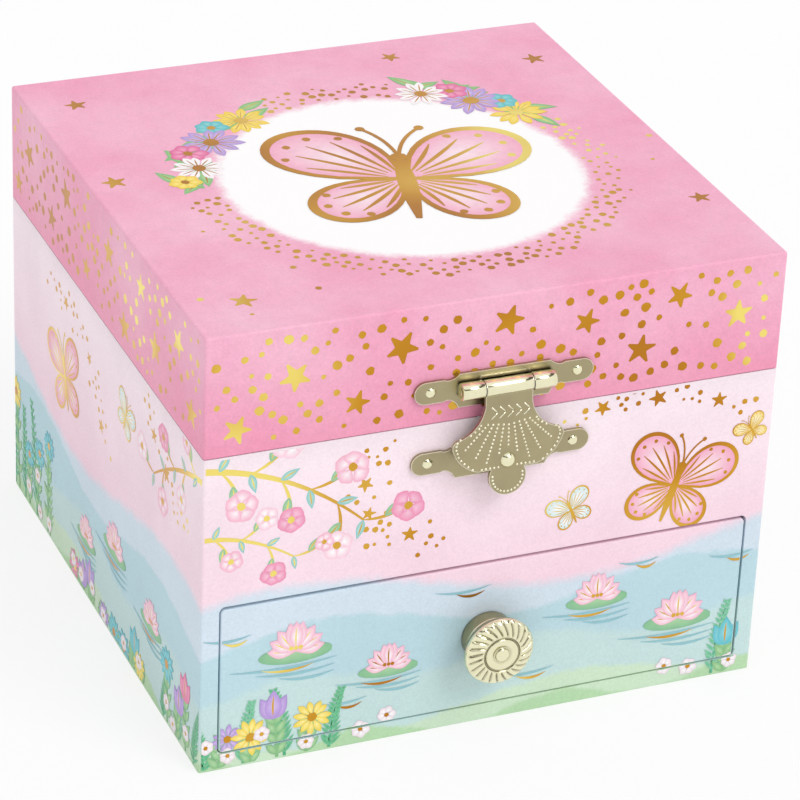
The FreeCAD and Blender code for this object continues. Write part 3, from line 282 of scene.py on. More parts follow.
# Each band: its mean height, swell, waves per metre, start, feather and colour, top band first.
bands = (
    (33.0, 4.5, 9.0, 0.6, 3.0, "#d3e2ee"),
    (25.5, 3.0, 14.0, 2.9, 1.2, "#bcdae3"),
    (16.0, 2.0, 21.0, 1.2, 2.5, "#c6e0df"),
    (4.6, 3.2, 11.0, 4.2, 1.6, "#cfe6cb"),
    (2.0, 2.0, 26.0, 2.0, 1.4, "#b9dbb0"),
)
ragged = 3.0

case_paper, tree, shader, place = start_finish("matt_filmed_watercolour_paper", **MATT_FILM)
parts = add(tree, "SeparateXYZ", {0: place})
height = parts.outputs["Z"]
blotch = add(tree, "TexNoise", {"Vector": place, "Scale": per_mm(17), "Detail": 5.0, "Roughness": 0.6})
edge = add(tree, "TexNoise", {"Vector": place, "Scale": per_mm(4.5), "Detail": 5.0, "Roughness": 0.7})
sky_height = add(tree, "Math", {0: blotch, 1: 20 * MM, 2: height}, operation="MULTIPLY_ADD")
sky_share = add(tree, "MapRange", {"Value": sky_height, "From Min": 30 * MM, "From Max": 76 * MM})
wash = add(tree, "ValToRGB", {"Fac": sky_share}, sky_pinks)
# The way round the box: x + y runs on without a step past the front left corner.
around_box = add(tree, "Math", {0: parts.outputs["X"], 1: parts.outputs["Y"]}, operation="ADD")
for mean, swell, waves, begin, feather, colour in bands:
    along = {0: around_box, 1: waves * 2 * math.pi, 2: begin}
    wave = add(tree, "Math", {0: add(tree, "Math", along, operation="MULTIPLY_ADD")}, operation="SINE")
    # Noise lies about 0.5, so half of the ragged edge is taken off the mean height.
    swelled = {0: wave, 1: swell * MM, 2: (mean - ragged / 2) * MM}
    top = add(tree, "Math", swelled, operation="MULTIPLY_ADD")
    rough_top = add(tree, "Math", {0: edge, 1: ragged * MM, 2: top}, operation="MULTIPLY_ADD")
    below = add(tree, "Math", {0: rough_top, 1: height}, operation="SUBTRACT")
    cover = add(tree, "MapRange", {"Value": below, "From Min": 0.0, "From Max": feather * MM}, **SMOOTH)
    wash = add(tree, "Mix", {FACTOR: cover, UNDER: wash, OVER: linear(colour)}, **BLEND)
pools = {"From Min": 0.3, "From Max": 0.7, "To Min": 0.965, "To Max": 1.03}
pool = add(tree, "MapRange", {"Value": blotch, **pools})
fine = paper_tooth(tree, shader, place, 0.05)
tone = add(tree, "Math", {0: pool, 1: fine}, operation="MULTIPLY")
# Painted shade: the upper edge of the case is darkened faintly grey, standing in for the shadow that falls
# under the lid.
under_lid_shade_span = {"From Min": 60 * MM, "From Max": 64.2 * MM, "To Min": 1.0, "To Max": 0.94}
painted_edge_shading = add(tree, "MapRange", {"Value": height, **under_lid_shade_span}, **SMOOTH)
tone = add(tree, "Math", {0: tone, 1: painted_edge_shading}, operation="MULTIPLY")
connect(tree, shader, Base_Color=add(tree, "Mix", {FACTOR: 1.0, UNDER: wash, OVER: tone}, **TIMES))
print(case_paper.name, "with", len(bands), "washes")

# %% Plain pink paper on the boards inside
inner_paper, tree, shader, place = start_finish("uncoated_pink_lining_paper", Roughness=0.8, IOR=1.46)
fibre = add(tree, "TexNoise", {"Vector": place, "Scale": per_mm(1.1), "Detail": 5.0, "Roughness": 0.7})
pulp = add(tree, "ValToRGB", {"Fac": fibre}, [(0.3, "#f1a8c2"), (0.7, "#f6bfd2")])
relief = add(tree, "Bump", {"Height": fibre, "Strength": 0.25, "Distance": 0.1 * MM})
connect(tree, shader, Base_Color=pulp, Normal=relief)
print(inner_paper.name)

# %% [markdown]
# ## Flock, mirror and metals
# The linings are flocked: short rayon fibres stood on end in glue, which look velvety and lighten towards
# grazing angles, so they get sheen. The mirror is silvered acrylic. The clasp and hinges are stamped sheet
# plated a pale champagne brass: flat faces of an even greenish gold. Where the punch rounded the edges, which
# the Bevel node finds, a painted highlight gives bright lines, and painted shade darkens the plating where
# parts lie close together.

# %% Flock and mirror
velvet = {"Sheen_Weight": 0.7, "Sheen_Roughness": 0.4, "Sheen_Tint": linear("#ffd6e6")}
flock, tree, shader, place = start_finish("pink_rayon_flock", Roughness=0.95, **velvet)
pile = add(tree, "TexNoise", {"Vector": place, "Scale": per_mm(0.5), "Detail": 3.0, "Roughness": 0.8})
nap = add(tree, "TexNoise", {"Vector": place, "Scale": per_mm(14), "Detail": 3.0})
mixed = add(tree, "Math", {0: pile, 1: nap}, operation="ADD")
half = add(tree, "Math", {0: mixed, 1: 0.5}, operation="MULTIPLY")
fibres = add(tree, "ValToRGB", {"Fac": half}, [(0.3, "#dd7ea6"), (0.7, "#eda3c1")])
relief = add(tree, "Bump", {"Height": pile, "Strength": 0.5, "Distance": 0.2 * MM})
connect(tree, shader, Base_Color=fibres, Normal=relief)

mirror, tree, shader, place = start_finish("silvered_acrylic", Metallic=1.0, Base_Color=linear("#eef1f3"))
smear = add(tree, "TexNoise", {"Vector": place, "Scale": per_mm(22), "Detail": 4.0})
wiped = {"From Min": 0.3, "From Max": 0.8, "To Min": 0.01, "To Max": 0.05}
connect(tree, shader, Roughness=add(tree, "MapRange", {"Value": smear, **wiped}))
print(flock.name, mirror.name)

# %% Plated metals
# Noise mostly lies between these two values.
MOSTLY = {"From Min": 0.3, "From Max": 0.7}
metals = {}
# Each metal: flat colour, painted highlight colour on rounded edges, roughness, size of its fine marks in mm.
plating = {
    "champagne_brass_plate": ("#aba07e", "#fbf6e2", 0.36, 0.8),
    "lacquered_movement_brass": ("#c9a352", "#ecd596", 0.3, 0.6),
    "bright_drawn_steel": ("#a9acb0", "#e3e6ea", 0.26, 0.5),
    "blued_spring_steel": ("#4c5568", "#9aa6c0", 0.3, 0.5),
}
corners = {"From Min": 0.35, "From Max": 0.85, "To Min": 0.55, "To Max": 1.0}
for name, (body, painted_highlight_colour, roughness, marks) in plating.items():
    metal, tree, shader, place = start_finish(name, Metallic=1.0)
    scuff = add(tree, "TexNoise", {"Vector": place, "Scale": per_mm(marks), "Detail": 4.0, "Roughness": 0.7})
    cloud = add(tree, "TexNoise", {"Vector": place, "Scale": per_mm(7), "Detail": 2.0})
    # Painted highlight: edges that the Bevel node finds rounded get the bright colour.
    rounded = add(tree, "Bevel", {"Radius": 0.34 * MM}, samples=6)
    true_face = add(tree, "NewGeometry").outputs["Normal"]
    turn = add(tree, "VectorMath", {0: rounded, 1: true_face}, operation="DOT_PRODUCT")
    painted_edge_shading = add(tree, "MapRange", {"Value": turn, "From Min": 0.985, "From Max": 0.8})
    body_tone = add(tree, "MapRange", {"Value": cloud, **MOSTLY, "To Min": 0.93, "To Max": 1.07})
    body_colour = add(tree, "Mix", {FACTOR: 1.0, UNDER: linear(body), OVER: body_tone}, **TIMES)
    # Painted shade: what lies close to something else is darkened, as shade falls in corners and crevices.
    open_air = add(tree, "AmbientOcclusion", {"Distance": 0.6 * MM}, samples=6)
    painted_corner_shade = add(tree, "MapRange", {"Value": open_air.outputs["AO"], **corners})
    shaded = add(tree, "Mix", {FACTOR: 1.0, UNDER: body_colour, OVER: painted_corner_shade}, **TIMES)
    colour = add(tree, "Mix", {FACTOR: painted_edge_shading, UNDER: shaded, OVER: linear(painted_highlight_colour)}, **BLEND)
    sheen = {"To Min": roughness - 0.06, "To Max": roughness + 0.08}
    gloss = add(tree, "MapRange", {"Value": scuff, **MOSTLY, **sheen})
    relief = add(tree, "Bump", {"Height": scuff, "Strength": 0.05, "Distance": 0.05 * MM})
    connect(tree, shader, Base_Color=colour, Roughness=gloss, Normal=relief)
    metals[name] = metal
brass = metals["champagne_brass_plate"]
print("metals:", ", ".join(metals))

# %% Polished brass of the knob, knuckles, nails and stud
polished, tree, shader, place = start_finish("polished_pale_brass", Metallic=1.0)
rub = add(tree, "TexNoise", {"Vector": place, "Scale": per_mm(1.2), "Detail": 4.0, "Roughness": 0.7})
# Painted shade: flutes, grooves and places close to other parts are darkened towards dark olive.
open_air = add(tree, "AmbientOcclusion", {"Distance": 0.8 * MM}, samples=6)
painted_hollow_shade = add(tree, "MapRange", {"Value": open_air.outputs["AO"], "From Min": 0.45, "From Max": 0.92})
shine = add(tree, "Mix", {FACTOR: rub, UNDER: linear("#e4dfb6"), OVER: linear("#f6f2d4")}, **BLEND)
colour = add(tree, "Mix", {FACTOR: painted_hollow_shade, UNDER: linear("#3d3718"), OVER: shine}, **BLEND)
gloss = add(tree, "MapRange", {"Value": rub, **MOSTLY, "To Min": 0.08, "To Max": 0.2})
connect(tree, shader, Base_Color=colour, Roughness=gloss)
print(polished.name)

# %% Pearl white moulding of the dancer's stand
# Injection-moulded styrene with a little pearl pigment: bright, smooth and faintly cloudy.
pearl, tree, shader, place = start_finish("moulded_pearl_styrene", Roughness=0.3, IOR=1.5)
cloud = add(tree, "TexNoise", {"Vector": place, "Scale": per_mm(3), "Detail": 3.0})
lustre = add(tree, "ValToRGB", {"Fac": cloud}, [(0.3, "#f1ecea"), (0.7, "#faf7f5")])
connect(tree, shader, Base_Color=lustre)
print(pearl.name)

# %% [markdown]
# ## Inks and foil
# The motifs are printed inks and hot-stamped gold foil. Each is a flat shape laid less than a tenth of a
# millimetre above the paper, one stacked on the next as the press prints them. Ink takes its colour from the
# mesh, so one material serves every hue; the foil's colour is painted from lemon to brown gold, a painted
# reflection of the studio caught unevenly.

# %% Inks and foil
ink, tree, shader, place = start_finish("offset_ink_under_matt_film", Roughness=0.5, IOR=1.46)
hue = add(tree, "VertexColor", layer_name="ink")
streak = add(tree, "TexNoise", {"Vector": place, "Scale": per_mm(1.6), "Detail": 4.0, "Roughness": 0.7})
flowing = {"From Min": 0.25, "From Max": 0.75, "To Min": 0.93, "To Max": 1.06}
flow = add(tree, "MapRange", {"Value": streak, **flowing})
connect(tree, shader, Base_Color=add(tree, "Mix", {FACTOR: 1.0, UNDER: hue, OVER: flow}, **TIMES))

golds = [(0.36, "#bd7d2a"), (0.47, "#cf952f"), (0.57, "#dfb04a"), (0.66, "#f7e27a")]
foil, tree, shader, place = start_finish("hot_stamped_gold_foil", Metallic=1.0, Roughness=0.3)
# Painted reflection: broad patches of colour from brown to lemon gold stand in for the studio caught
# unevenly.
painted_reflection_patches = add(tree, "TexNoise", {"Vector": place, "Scale": per_mm(34), "Detail": 1.0})
crease = add(tree, "TexNoise", {"Vector": place, "Scale": per_mm(0.6), "Detail": 3.0})
relief = add(tree, "Bump", {"Height": crease, "Strength": 0.06, "Distance": 0.05 * MM})
connect(tree, shader, Base_Color=add(tree, "ValToRGB", {"Fac": painted_reflection_patches}, golds), Normal=relief)
print(ink.name, foil.name)

# %% Dress the CAD pieces
dress = {
    lid_paper: "lid_top lid_front_rail lid_back_rail lid_left_rail lid_right_rail",
    case_paper: "left_wall right_wall back_wall front_frame drawer_front",
    inner_paper: "base_board shelf_board bay_divider drawer_left_side drawer_right_side drawer_back "
    "drawer_floor lid_stop_block",
    flock: "tray_lining drawer_lining mirror_frame",
    mirror: "lid_mirror",
    brass: "hinge_left_case_leaf hinge_right_case_leaf hinge_left_lid_leaf hinge_right_lid_leaf "
    "clasp_case_plate clasp_lid_plate clasp_hasp winding_key",
    polished: "hinge_case_nails hinge_lid_nails clasp_case_nails clasp_lid_nails clasp_stud drawer_knob",
    pearl: "spindle crown_wheel",
    metals["lacquered_movement_brass"]: "comb_block great_wheel spring_barrel pin_cylinder "
    "cylinder_wheel fly_fan",
    metals["bright_drawn_steel"]: "movement_frame spindle_bridge music_comb movement_screws ratchet_click "
    "winding_arbor cylinder_arbor fly_arbor stop_wire hinge_pins clasp_pin dancer_spring knob_screw",
    metals["blued_spring_steel"]: "mainspring",
}
for finish, names in dress.items():
    for name in names.split():
        mesh = nodes[name].data
        mesh.materials.clear()
        mesh.materials.append(finish)
print("dressed:", sum(len(names.split()) for names in dress.values()), "of", len(nodes))

# %% [markdown]
# ## Helpers for shapes
# A new shape is drawn as a bmesh, which is Blender's mesh while it is being edited. Rows of points
# get a skin of faces, and one function turns the result into an object that moves with its body.

# %% Helpers for shapes


def around(count):
    """Angles evenly spaced over a full turn."""
    return [2 * math.pi * k / count for k in range(count)]


def skin(form, rows):
    """Four-cornered faces between each closed row of points and the next."""
    faces = []
    for low, high in zip(rows, rows[1:]):
        for k in range(len(low)):
            after = (k + 1) % len(low)
            faces.append(form.faces.new((low[k], low[after], high[after], high[k])))
    return faces


def make_piece(name, form, finishes, body, smooth=True, outward=True):
    """A new piece with its finishes, which rides on a body."""
    if outward:
        bmesh.ops.recalc_face_normals(form, faces=form.faces[:])
    mesh = bpy.data.meshes.new(name)
    form.to_mesh(mesh)
    form.free()
    for polygon in mesh.polygons:
        polygon.use_smooth = smooth
    for finish in finishes:
        mesh.materials.append(finish)
    piece = bpy.data.objects.new(name, mesh)
    scene.collection.objects.link(piece)
    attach(piece, body)
    return piece


print("shape tools ready")

# %% [markdown]
# ## A page to print on
# Each face of the box is a page with its own right and up directions, in millimetres. A page keeps
# two stacks of shapes, ink and foil, and becomes one mesh of each. Shapes are cut off at the face's
# edge, and on the front also along the drawer's edge, so that each half moves with its own board.

# %% Pages
first_lift, layer_lift = 0.008, 0.00025


class Page:
    """One printed face: drawn on in millimetres, then turned into thin meshes that ride on bodies."""

    def __init__(self, name, origin, right, up, low, high, seed):
        self.name = name
        self.origin, self.right, self.up = Vector(origin) * MM, Vector(right), Vector(up)
        self.out = self.right.cross(self.up)
        self.low, self.high = low, high
        self.layer = 0
        self.stacks = {"ink": ([], [], []), "foil": ([], [], [])}
        self.dice = random.Random(seed)

    def lay(self, points, faces, tints, stock):
        """Adds one shape a step above the last; tints are linear colours, one for each point."""
        self.layer += 1
        places, polygons, colours = self.stacks[stock]
        first = len(places)
        lift = (first_lift + layer_lift * self.layer) * MM
        for x, y in points:
            places.append(self.origin + self.right * (x * MM) + self.up * (y * MM) + self.out * lift)
        polygons.extend(tuple(first + i for i in face) for face in faces)
        colours.extend(tints)

    def fill(self, centre, rim, inner="#ffffff", outer="#ffffff", stock="ink"):
        """A filled outline, shaded from its middle to its rim."""
        count = len(rim)
        faces = [(0, 1 + i, 1 + (i + 1) % count) for i in range(count)]
        self.lay([centre] + list(rim), faces, [linear(inner)] + [linear(outer)] * count, stock)

    def stroke(self, line, widths, colour="#ffffff", stock="ink"):
        """A brush stroke along a line, as wide at each point as widths says there."""
        points, count = [], len(line)
        for i, (x, y) in enumerate(line):
            ahead, behind = line[min(i + 1, count - 1)], line[max(i - 1, 0)]
            dx, dy = ahead[0] - behind[0], ahead[1] - behind[1]
            w = widths[i] / 2 / (math.hypot(dx, dy) or 1.0)
            points += [(x - dy * w, y + dx * w), (x + dy * w, y - dx * w)]
        faces = [(2 * i, 2 * i + 1, 2 * i + 3, 2 * i + 2) for i in range(count - 1)]
        self.lay(points, faces, [linear(colour)] * len(points), stock)


def bend(start, middle, end, steps=12):
    """Points along a curve pulled towards its middle point."""
    line = []
    for i in range(steps + 1):
        t = i / steps
        weights = ((1 - t) ** 2, 2 * t * (1 - t), t * t)
        line.append(tuple(sum(w * p[k] for w, p in zip(weights, (start, middle, end))) for k in (0, 1)))
    return line


def taper(count, thick, thin=0.3):
    """Widths of a stroke that swells in its middle and thins to its ends."""
    return [thick * (thin + (1 - thin) * math.sin(math.pi * i / (count - 1))) for i in range(count)]


def turned(points, x, y, angle):
    """Points turned about their origin by an angle in degrees and moved to x, y."""
    c, s = math.cos(math.radians(angle)), math.sin(math.radians(angle))
    return [(x + px * c - py * s, y + px * s + py * c) for px, py in points]


print("page tools ready")

# %% [markdown]
# ## Motifs
# Stars, dots, leaves, daisies, ferns, tulips, butterflies and water lilies are everyday print
# motifs. Each one is drawn by a short function from a few sizes, and most take a small wobble from
# the page's dice, which are seeded, so that every run prints the same sheet.

# %% Gold dots and stars


def dot(page, x, y, size):
    """A round gold dot with a slightly uneven rim."""
    wobble = [size / 2 * (1 + page.dice.uniform(-0.1, 0.1)) for _ in range(12)]
    rim = [(x + r * math.cos(a), y + r * math.sin(a)) for r, a in zip(wobble, around(12))]
    page.fill((x, y), rim, stock="foil")


def star(page, x, y, size):
    """A five-pointed gold star, leaned and drawn unevenly."""
    lean = page.dice.uniform(0, 72)
    rim = []
    for i in range(10):
        reach = size / 2 * (0.48 if i % 2 else 1.0) * page.dice.uniform(0.93, 1.05)
        # Each point of the star is a small blunt edge, as a stamping die leaves it.
        for step in (-4, 4):
            angle = math.radians(lean + 36 * i + step)
            rim.append((x + reach * math.cos(angle), y + reach * math.sin(angle)))
    page.fill((x, y), rim, stock="foil")


def scatter(page, count, inside, dots=(0.9, 1.9), gap=2.4, stars=(), star_size=(4.3, 6.4), margin=1.9):
    """Stars where they are asked for, then dots where inside says how likely one is."""
    taken = []
    level = page.layer
    for x, y in stars:
        size = page.dice.uniform(*star_size)
        star(page, x, y, size)
        page.layer = level
        taken.append((x, y, size / 2 + 0.8))
    tries = 0
    while count > 0 and tries < 20000:
        tries += 1
        x = page.dice.uniform(page.low[0] + margin, page.high[0] - margin)
        y = page.dice.uniform(page.low[1] + margin, page.high[1] - margin)
        if page.dice.random() > inside(x, y):
            continue
        size = page.dice.uniform(*dots)
        if any(math.hypot(x - a, y - b) < r + gap / 2 for a, b, r in taken):
            continue
        dot(page, x, y, size)
        page.layer = level
        taken.append((x, y, gap / 2))
        count -= 1
    page.layer = level + 1


print("dots and stars ready")

# %% Leaves, flowers and ferns


def leaf(page, x, y, angle, length, width, inner, outer, veined=False, blunt=0.8):
    """A leaf or petal with its foot at x, y; a larger blunt puts its widest place nearer the tip."""
    along = (0, 0.12, 0.25, 0.4, 0.55, 0.7, 0.84, 0.94, 1.0)
    edge = [(length * t, width / 2 * math.sin(math.pi * t**blunt)) for t in along]
    rim = edge + [(a, -b) for a, b in reversed(edge[1:-1])]
    page.fill(turned([(length * 0.45, 0)], x, y, angle)[0], turned(rim, x, y, angle), inner, outer)
    if veined:
        vein = bend((length * 0.12, 0), (length * 0.5, width * 0.06), (length * 0.78, 0), 5)
        page.stroke(turned(vein, x, y, angle), taper(6, max(0.3, width * 0.08)), stock="foil")


def daisy(page, x, y, radius, petals, inner, outer, veined=False):
    """A ring of petals round a gold heart; few petals are full and touch, many are slim."""
    spin = page.dice.uniform(0, 360)
    full = 5.2 if petals < 9 else 3.9
    for k in range(petals):
        angle = spin + 360 * k / petals + page.dice.uniform(-6, 6)
        reach = radius * page.dice.uniform(0.9, 1.08)
        leaf(page, x, y, angle, reach, radius * full / petals, inner, outer, veined, 1.7)
    dot(page, x, y, radius * 0.5)


def fern(page, x, y, height, lean, dark, light):
    """A fern: a bent stem with leaflets that shorten towards its tip."""
    line = bend((x, y), (x + lean * 0.1, y + height * 0.6), (x + lean, y + height), 14)
    page.stroke(line, [0.6 - 0.025 * i for i in range(15)], dark)
    level = page.layer
    for i in range(2, 15):
        reach = (1.1 - 0.05 * i) * (2.0 + height * 0.07)
        for side in (1, -1):
            page.layer = level + i % 3 + side
            angle = 90 - lean * 1.2 - side * page.dice.uniform(36, 50)
            leaf(page, *line[i], angle, reach, 0.62 + 0.008 * height, dark, light)
    page.layer = level + 4


def sprig(page, x, y, height, lean, green, pale):
    """A leafy stem; returns its top, where a flower goes."""
    line = bend((x, y), (x + lean * 0.2, y + height * 0.6), (x + lean, y + height), 10)
    page.stroke(line, [0.6] * 11, green)
    for i in range(2, 10, 2):
        for side in (1, -1):
            leaf(page, *line[i], 90 - side * page.dice.uniform(28, 44), 3.6, 1.5, pale, green)
    return line[-1]


def tulip(page, x, y, height, lean, inner, outer):
    """A tulip of three petals on a sprig."""
    tx, ty = sprig(page, x, y, height, lean, "#86bd84", "#b3d9a6")
    for angle, tall, wide in ((118, 5.4, 2.9), (62, 5.4, 2.9), (90, 6.2, 3.4)):
        leaf(page, tx, ty - 0.6, angle, tall, wide, inner, outer, False, 0.75)
    page.stroke(bend((tx, ty + 0.2), (tx - 0.2, ty + 2), (tx, ty + 4.2), 5), taper(6, 0.4), stock="foil")


print("leaves and flowers ready")

# %% Butterflies, water lilies and ripples


def butterfly(page, x, y, size, lean, inner, outer):
    """Two pairs of washed wings with gold rims, veins and beads, and a gold body."""
    # Each wing: the angles it lies between, its reach as a share of the size, and where it is fullest.
    wings = ((2, 82, 0.52, 0.88), (-82, 0, 0.4, 1.0))
    steps = 26

    def gold(line, widths):
        page.stroke(turned(line, x, y, lean), widths, stock="foil")

    def bead(px, py, share):
        dot(page, *turned([(px, py)], x, y, lean)[0], size * share)

    for side in (1, -1):
        for low, high, reach, full in wings:
            rim = [(0.0, 0.0)]
            for i in range(1, steps):
                r = size * reach * math.sin(math.pi * (i / steps) ** full) ** 0.5
                a = math.radians(low + (high - low) * i / steps)
                rim.append((side * r * math.cos(a), r * math.sin(a)))
            middle = [tuple(0.5 * v for v in rim[steps // 2])]
            page.fill(turned(middle, x, y, lean)[0], turned(rim, x, y, lean), inner, outer)
            gold(rim + rim[:1], taper(steps + 1, size * 0.034, 0.55))
            for i in (5, 9, 13, 17, 21):
                px, py = rim[i]
                bulge = (px * 0.5 + size * 0.012, py * 0.5)
                vein = bend((px * 0.14, py * 0.14), bulge, (px * 0.78, py * 0.78), 6)
                gold(vein, taper(7, size * 0.017, 0.3))
            for i in (7, 11, 15, 19):
                bead(*(0.87 * v for v in rim[i]), 0.03)
    neck = (0, size * 0.17)
    gold(bend(neck, (0.0, 0.0), (0, -size * 0.3), 10), taper(11, size * 0.066, 0.3))
    bead(*neck, 0.062)
    for side in (1, -1):
        feeler = bend(neck, (side * size * 0.02, size * 0.32), (side * size * 0.1, size * 0.4), 10)
        gold(feeler, [size * 0.014] * 11)
        bead(*feeler[-1], 0.034)


def ripple(page, x, y, width, stock="ink"):
    """One curved stroke of water."""
    line = bend((x - width / 2, y + 0.5), (x, y - 1.1), (x + width / 2, y + 0.4), 10)
    page.stroke(line, taper(11, 0.55, 0.15), "#93c6cf", stock)


def lily(page, x, y, size):
    """A water lily on its pad, with ripples round it."""
    level = page.layer
    pad_y = y - size * 0.1
    pad = [(x + size * 0.95 * math.cos(a), pad_y + size * 0.26 * math.sin(a)) for a in around(24)[1:]]
    for k, (wide, drop) in enumerate(((2.7, 0.42), (2.0, 0.62), (1.4, 0.8))):
        ripple(page, x + (k - 1) * size * 0.3, y - size * drop, size * wide)
    page.fill((x, pad_y), pad, "#a9d3a4", "#86bf93")
    ripple(page, x - size * 0.2, y - size * 0.5, size * 1.3, stock="foil")
    for angle in (172, 8, 150, 30, 126, 54, 102, 78, 90):
        reach = size * (0.72 + 0.12 * math.sin(math.radians(angle)))
        leaf(page, x, y - size * 0.05, angle, reach, size * 0.36, "#ffffff", "#f6b9cf", True, 1.15)
    for dx in (-0.12, 0.0, 0.12):
        dot(page, x + dx * size, y + 0.06 * size, size * 0.12)
    page.layer = level


def bloom_branch(page, line, thick, reach, every=4):
    """A gold branch with blossom and young leaves along it."""
    blossoms = (("#fff6f9", "#f6b3cb"), ("#ffffff", "#f9cddd"), ("#f9c9dc", "#ee8fb4"))
    page.stroke(line, [thick * (1 - 0.7 * i / (len(line) - 1)) for i in range(len(line))], stock="foil")
    level = page.layer
    for k, i in enumerate(range(every, len(line), every)):
        (ax, ay), (bx, by) = line[i - 1], line[i]
        run = math.degrees(math.atan2(by - ay, bx - ax))
        side = 1 if k % 2 else -1
        page.layer = level + 20 * (k % 3)
        twig = bend((0, 0), (reach * 0.5, side * reach * 0.02), (reach, side * reach * 0.4), 8)
        twig = turned(twig, bx, by, run + side * 30)
        page.stroke(twig, taper(9, thick * 0.45), stock="foil")
        outer_turn = run + side * page.dice.uniform(70, 100)
        leaf(page, *twig[4], outer_turn, reach * 0.55, reach * 0.22, "#b9dcb0", "#8cc39a", True)
        inner_turn = run - side * page.dice.uniform(40, 70)
        leaf(page, bx, by, inner_turn, reach * 0.5, reach * 0.2, "#bfe0d8", "#8ccbc9", True)
        daisy(page, *twig[-1], reach * page.dice.uniform(0.34, 0.46), 5, *blossoms[k % 3])
    page.layer = level + 60


print("motifs ready")

# %% [markdown]
# ## Print the lid
# The rails are scattered with gold stars and dots, thicker in some places than others. The top has
# a butterfly in the white round, two short garlands beside it and a halo of gold dots.

# %% Pages on the upright sides


def upright_pages(ending, half_x, half_y, low, high, first_seed):
    """A page on each upright side of the box, named for its side and seeded in turn."""
    sides = {
        "front": ((0, -half_y, 0), (1, 0, 0), half_x),
        "left": ((-half_x, 0, 0), (0, -1, 0), half_y),
        "right": ((half_x, 0, 0), (0, 1, 0), half_y),
        "back": ((0, half_y, 0), (-1, 0, 0), half_x),
    }
    pages = {}
    for k, (side, (origin, right, half)) in enumerate(sides.items()):
        corners = (-half, low), (half, high)
        pages[side] = Page(side + ending, origin, right, (0, 0, 1), *corners, first_seed + k)
    return pages


low_lid, high_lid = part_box("lid_front_rail")[0].z / MM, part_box("lid_top")[1].z / MM
half_x, half_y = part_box("lid_top")[1].x / MM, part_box("lid_top")[1].y / MM
rail_pages = upright_pages("_rail", half_x, half_y, low_lid, high_lid, 11)
wall_x, wall_y = -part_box("left_wall")[0].x / MM, -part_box("front_frame")[0].y / MM
wall_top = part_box("front_frame")[1].z / MM
case_pages = upright_pages("", wall_x, wall_y, 0, wall_top, 31)
print("upright pages:", len(rail_pages) + len(case_pages))

# %% Print the lid
rail_dots = 128
front_stars = [(-49, 69), (-38.5, 77.5), (-27, 70.6), (-19, 80), (1, 82.2), (16, 79.6), (27, 72.4)]
left_stars = [(-44, 78), (-30, 71), (-21, 79.6), (-9, 70.4), (4, 79.6), (13, 69), (22, 81.2), (30, 73)]
right_stars = [(-46, 72), (-33, 80), (-24, 69.5), (-12, 78.5), (1, 72), (12, 82), (24, 70.5)]
rail_stars = {
    "front": front_stars + [(34, 82), (46, 76.5)],
    "left": left_stars + [(42, 80), (49, 70), (-51, 69)],
    "right": right_stars + [(34, 79), (47, 74)],
    "back": [(-49, 79), (-40, 68), (-14, 80), (-5, 70), (8, 76), (15, 83), (44, 81), (51, 69.5)],
}
for side, page in rail_pages.items():
    sway = page.dice.uniform(0, 6)
    thick_and_thin = lambda x, y: 0.55 + 0.45 * math.sin(x * 0.11 + y * 0.32 + sway)
    scatter(page, rail_dots, thick_and_thin, stars=rail_stars[side])

lid_page = Page("lid_top", (0, 0, high_lid), (1, 0, 0), (0, 1, 0), (-half_x, -half_y), (half_x, half_y), 21)
# Each garland: the angles it lies between, in degrees round the white round, and its flowers.
garlands = ((118, 172, 6), (28, 66, 5))


def halo(x, y):
    """Thick beside the white round, thinning to a rare dot 7.4 mm out, and none by the garlands."""
    away = math.hypot(x - round_x, y - round_y) - round_radius
    angle = math.degrees(math.atan2(y - round_y, x - round_x)) % 360
    if away < 0.8 or any(start - 6 < angle < stop + 6 for start, stop, _ in garlands):
        return 0.0
    return min(1.0, max(0.0015, (7.4 - away) / 2.6))


def by_round(angle, away):
    """A place this many millimetres outside the white round."""
    reach = round_radius + away
    return round_x + reach * math.cos(angle), round_y + reach * math.sin(angle)


halo_dots = 330
scatter(lid_page, halo_dots, halo, dots=(0.7, 1.55), gap=1.75)
top_stars = [(-46, 43), (-50, 8), (47, 38), (50, -30), (-44, -44), (20, 47)]
scatter(lid_page, 0, halo, stars=top_stars, star_size=(3.6, 5.0))
garland_colours = (
    ("#ffe98a", "#f2cf3d"),
    ("#8fd6d8", "#5bbcc4"),
    ("#d9c2ec", "#b598d6"),
    ("#f7a8c6", "#e2669c"),
    ("#ffffff", "#fdf3f6"),
)
flower_sizes = (5.6, 3.4, 6.2, 3.8, 5.2, 3.2)
for start, stop, flowers in garlands:
    for k in range(flowers * 3):
        angle = math.radians(start + (stop - start) * k / (flowers * 3 - 1))
        x, y = by_round(angle, 3.5 + lid_page.dice.uniform(-2.5, 3.0))
        turn = math.degrees(angle) + lid_page.dice.choice((60, 100, -50, -90))
        leaf(lid_page, x, y, turn, 7.5, 2.8, "#b4d99a", "#84bd7c", True)
    for k in range(flowers):
        angle = math.radians(start + (stop - start) * (k + 0.5) / flowers)
        x, y = by_round(angle, 4.0 + (1.6 if k % 2 else -1.2))
        size = flower_sizes[k % 6]
        daisy(lid_page, x, y, size, 11 if size > 5 else 7, *garland_colours[k % 5], size > 5)
butterfly(lid_page, round_x, round_y - 2, 56, -14, "#fde7ee", "#f3a9c4")
print("lid pages:", len(rail_pages) + 1, "foil shapes on the top:", len(lid_page.stacks["foil"][1]))

# %% [markdown]
# ## Print the case
# All four sides share one evening: butterflies and a trail of gold dots in the sky, lilies on the
# water, ferns and flowers along the bottom, and blossom above on all but the back. No large motif
# lies under the clasp, the knob or the winding key.

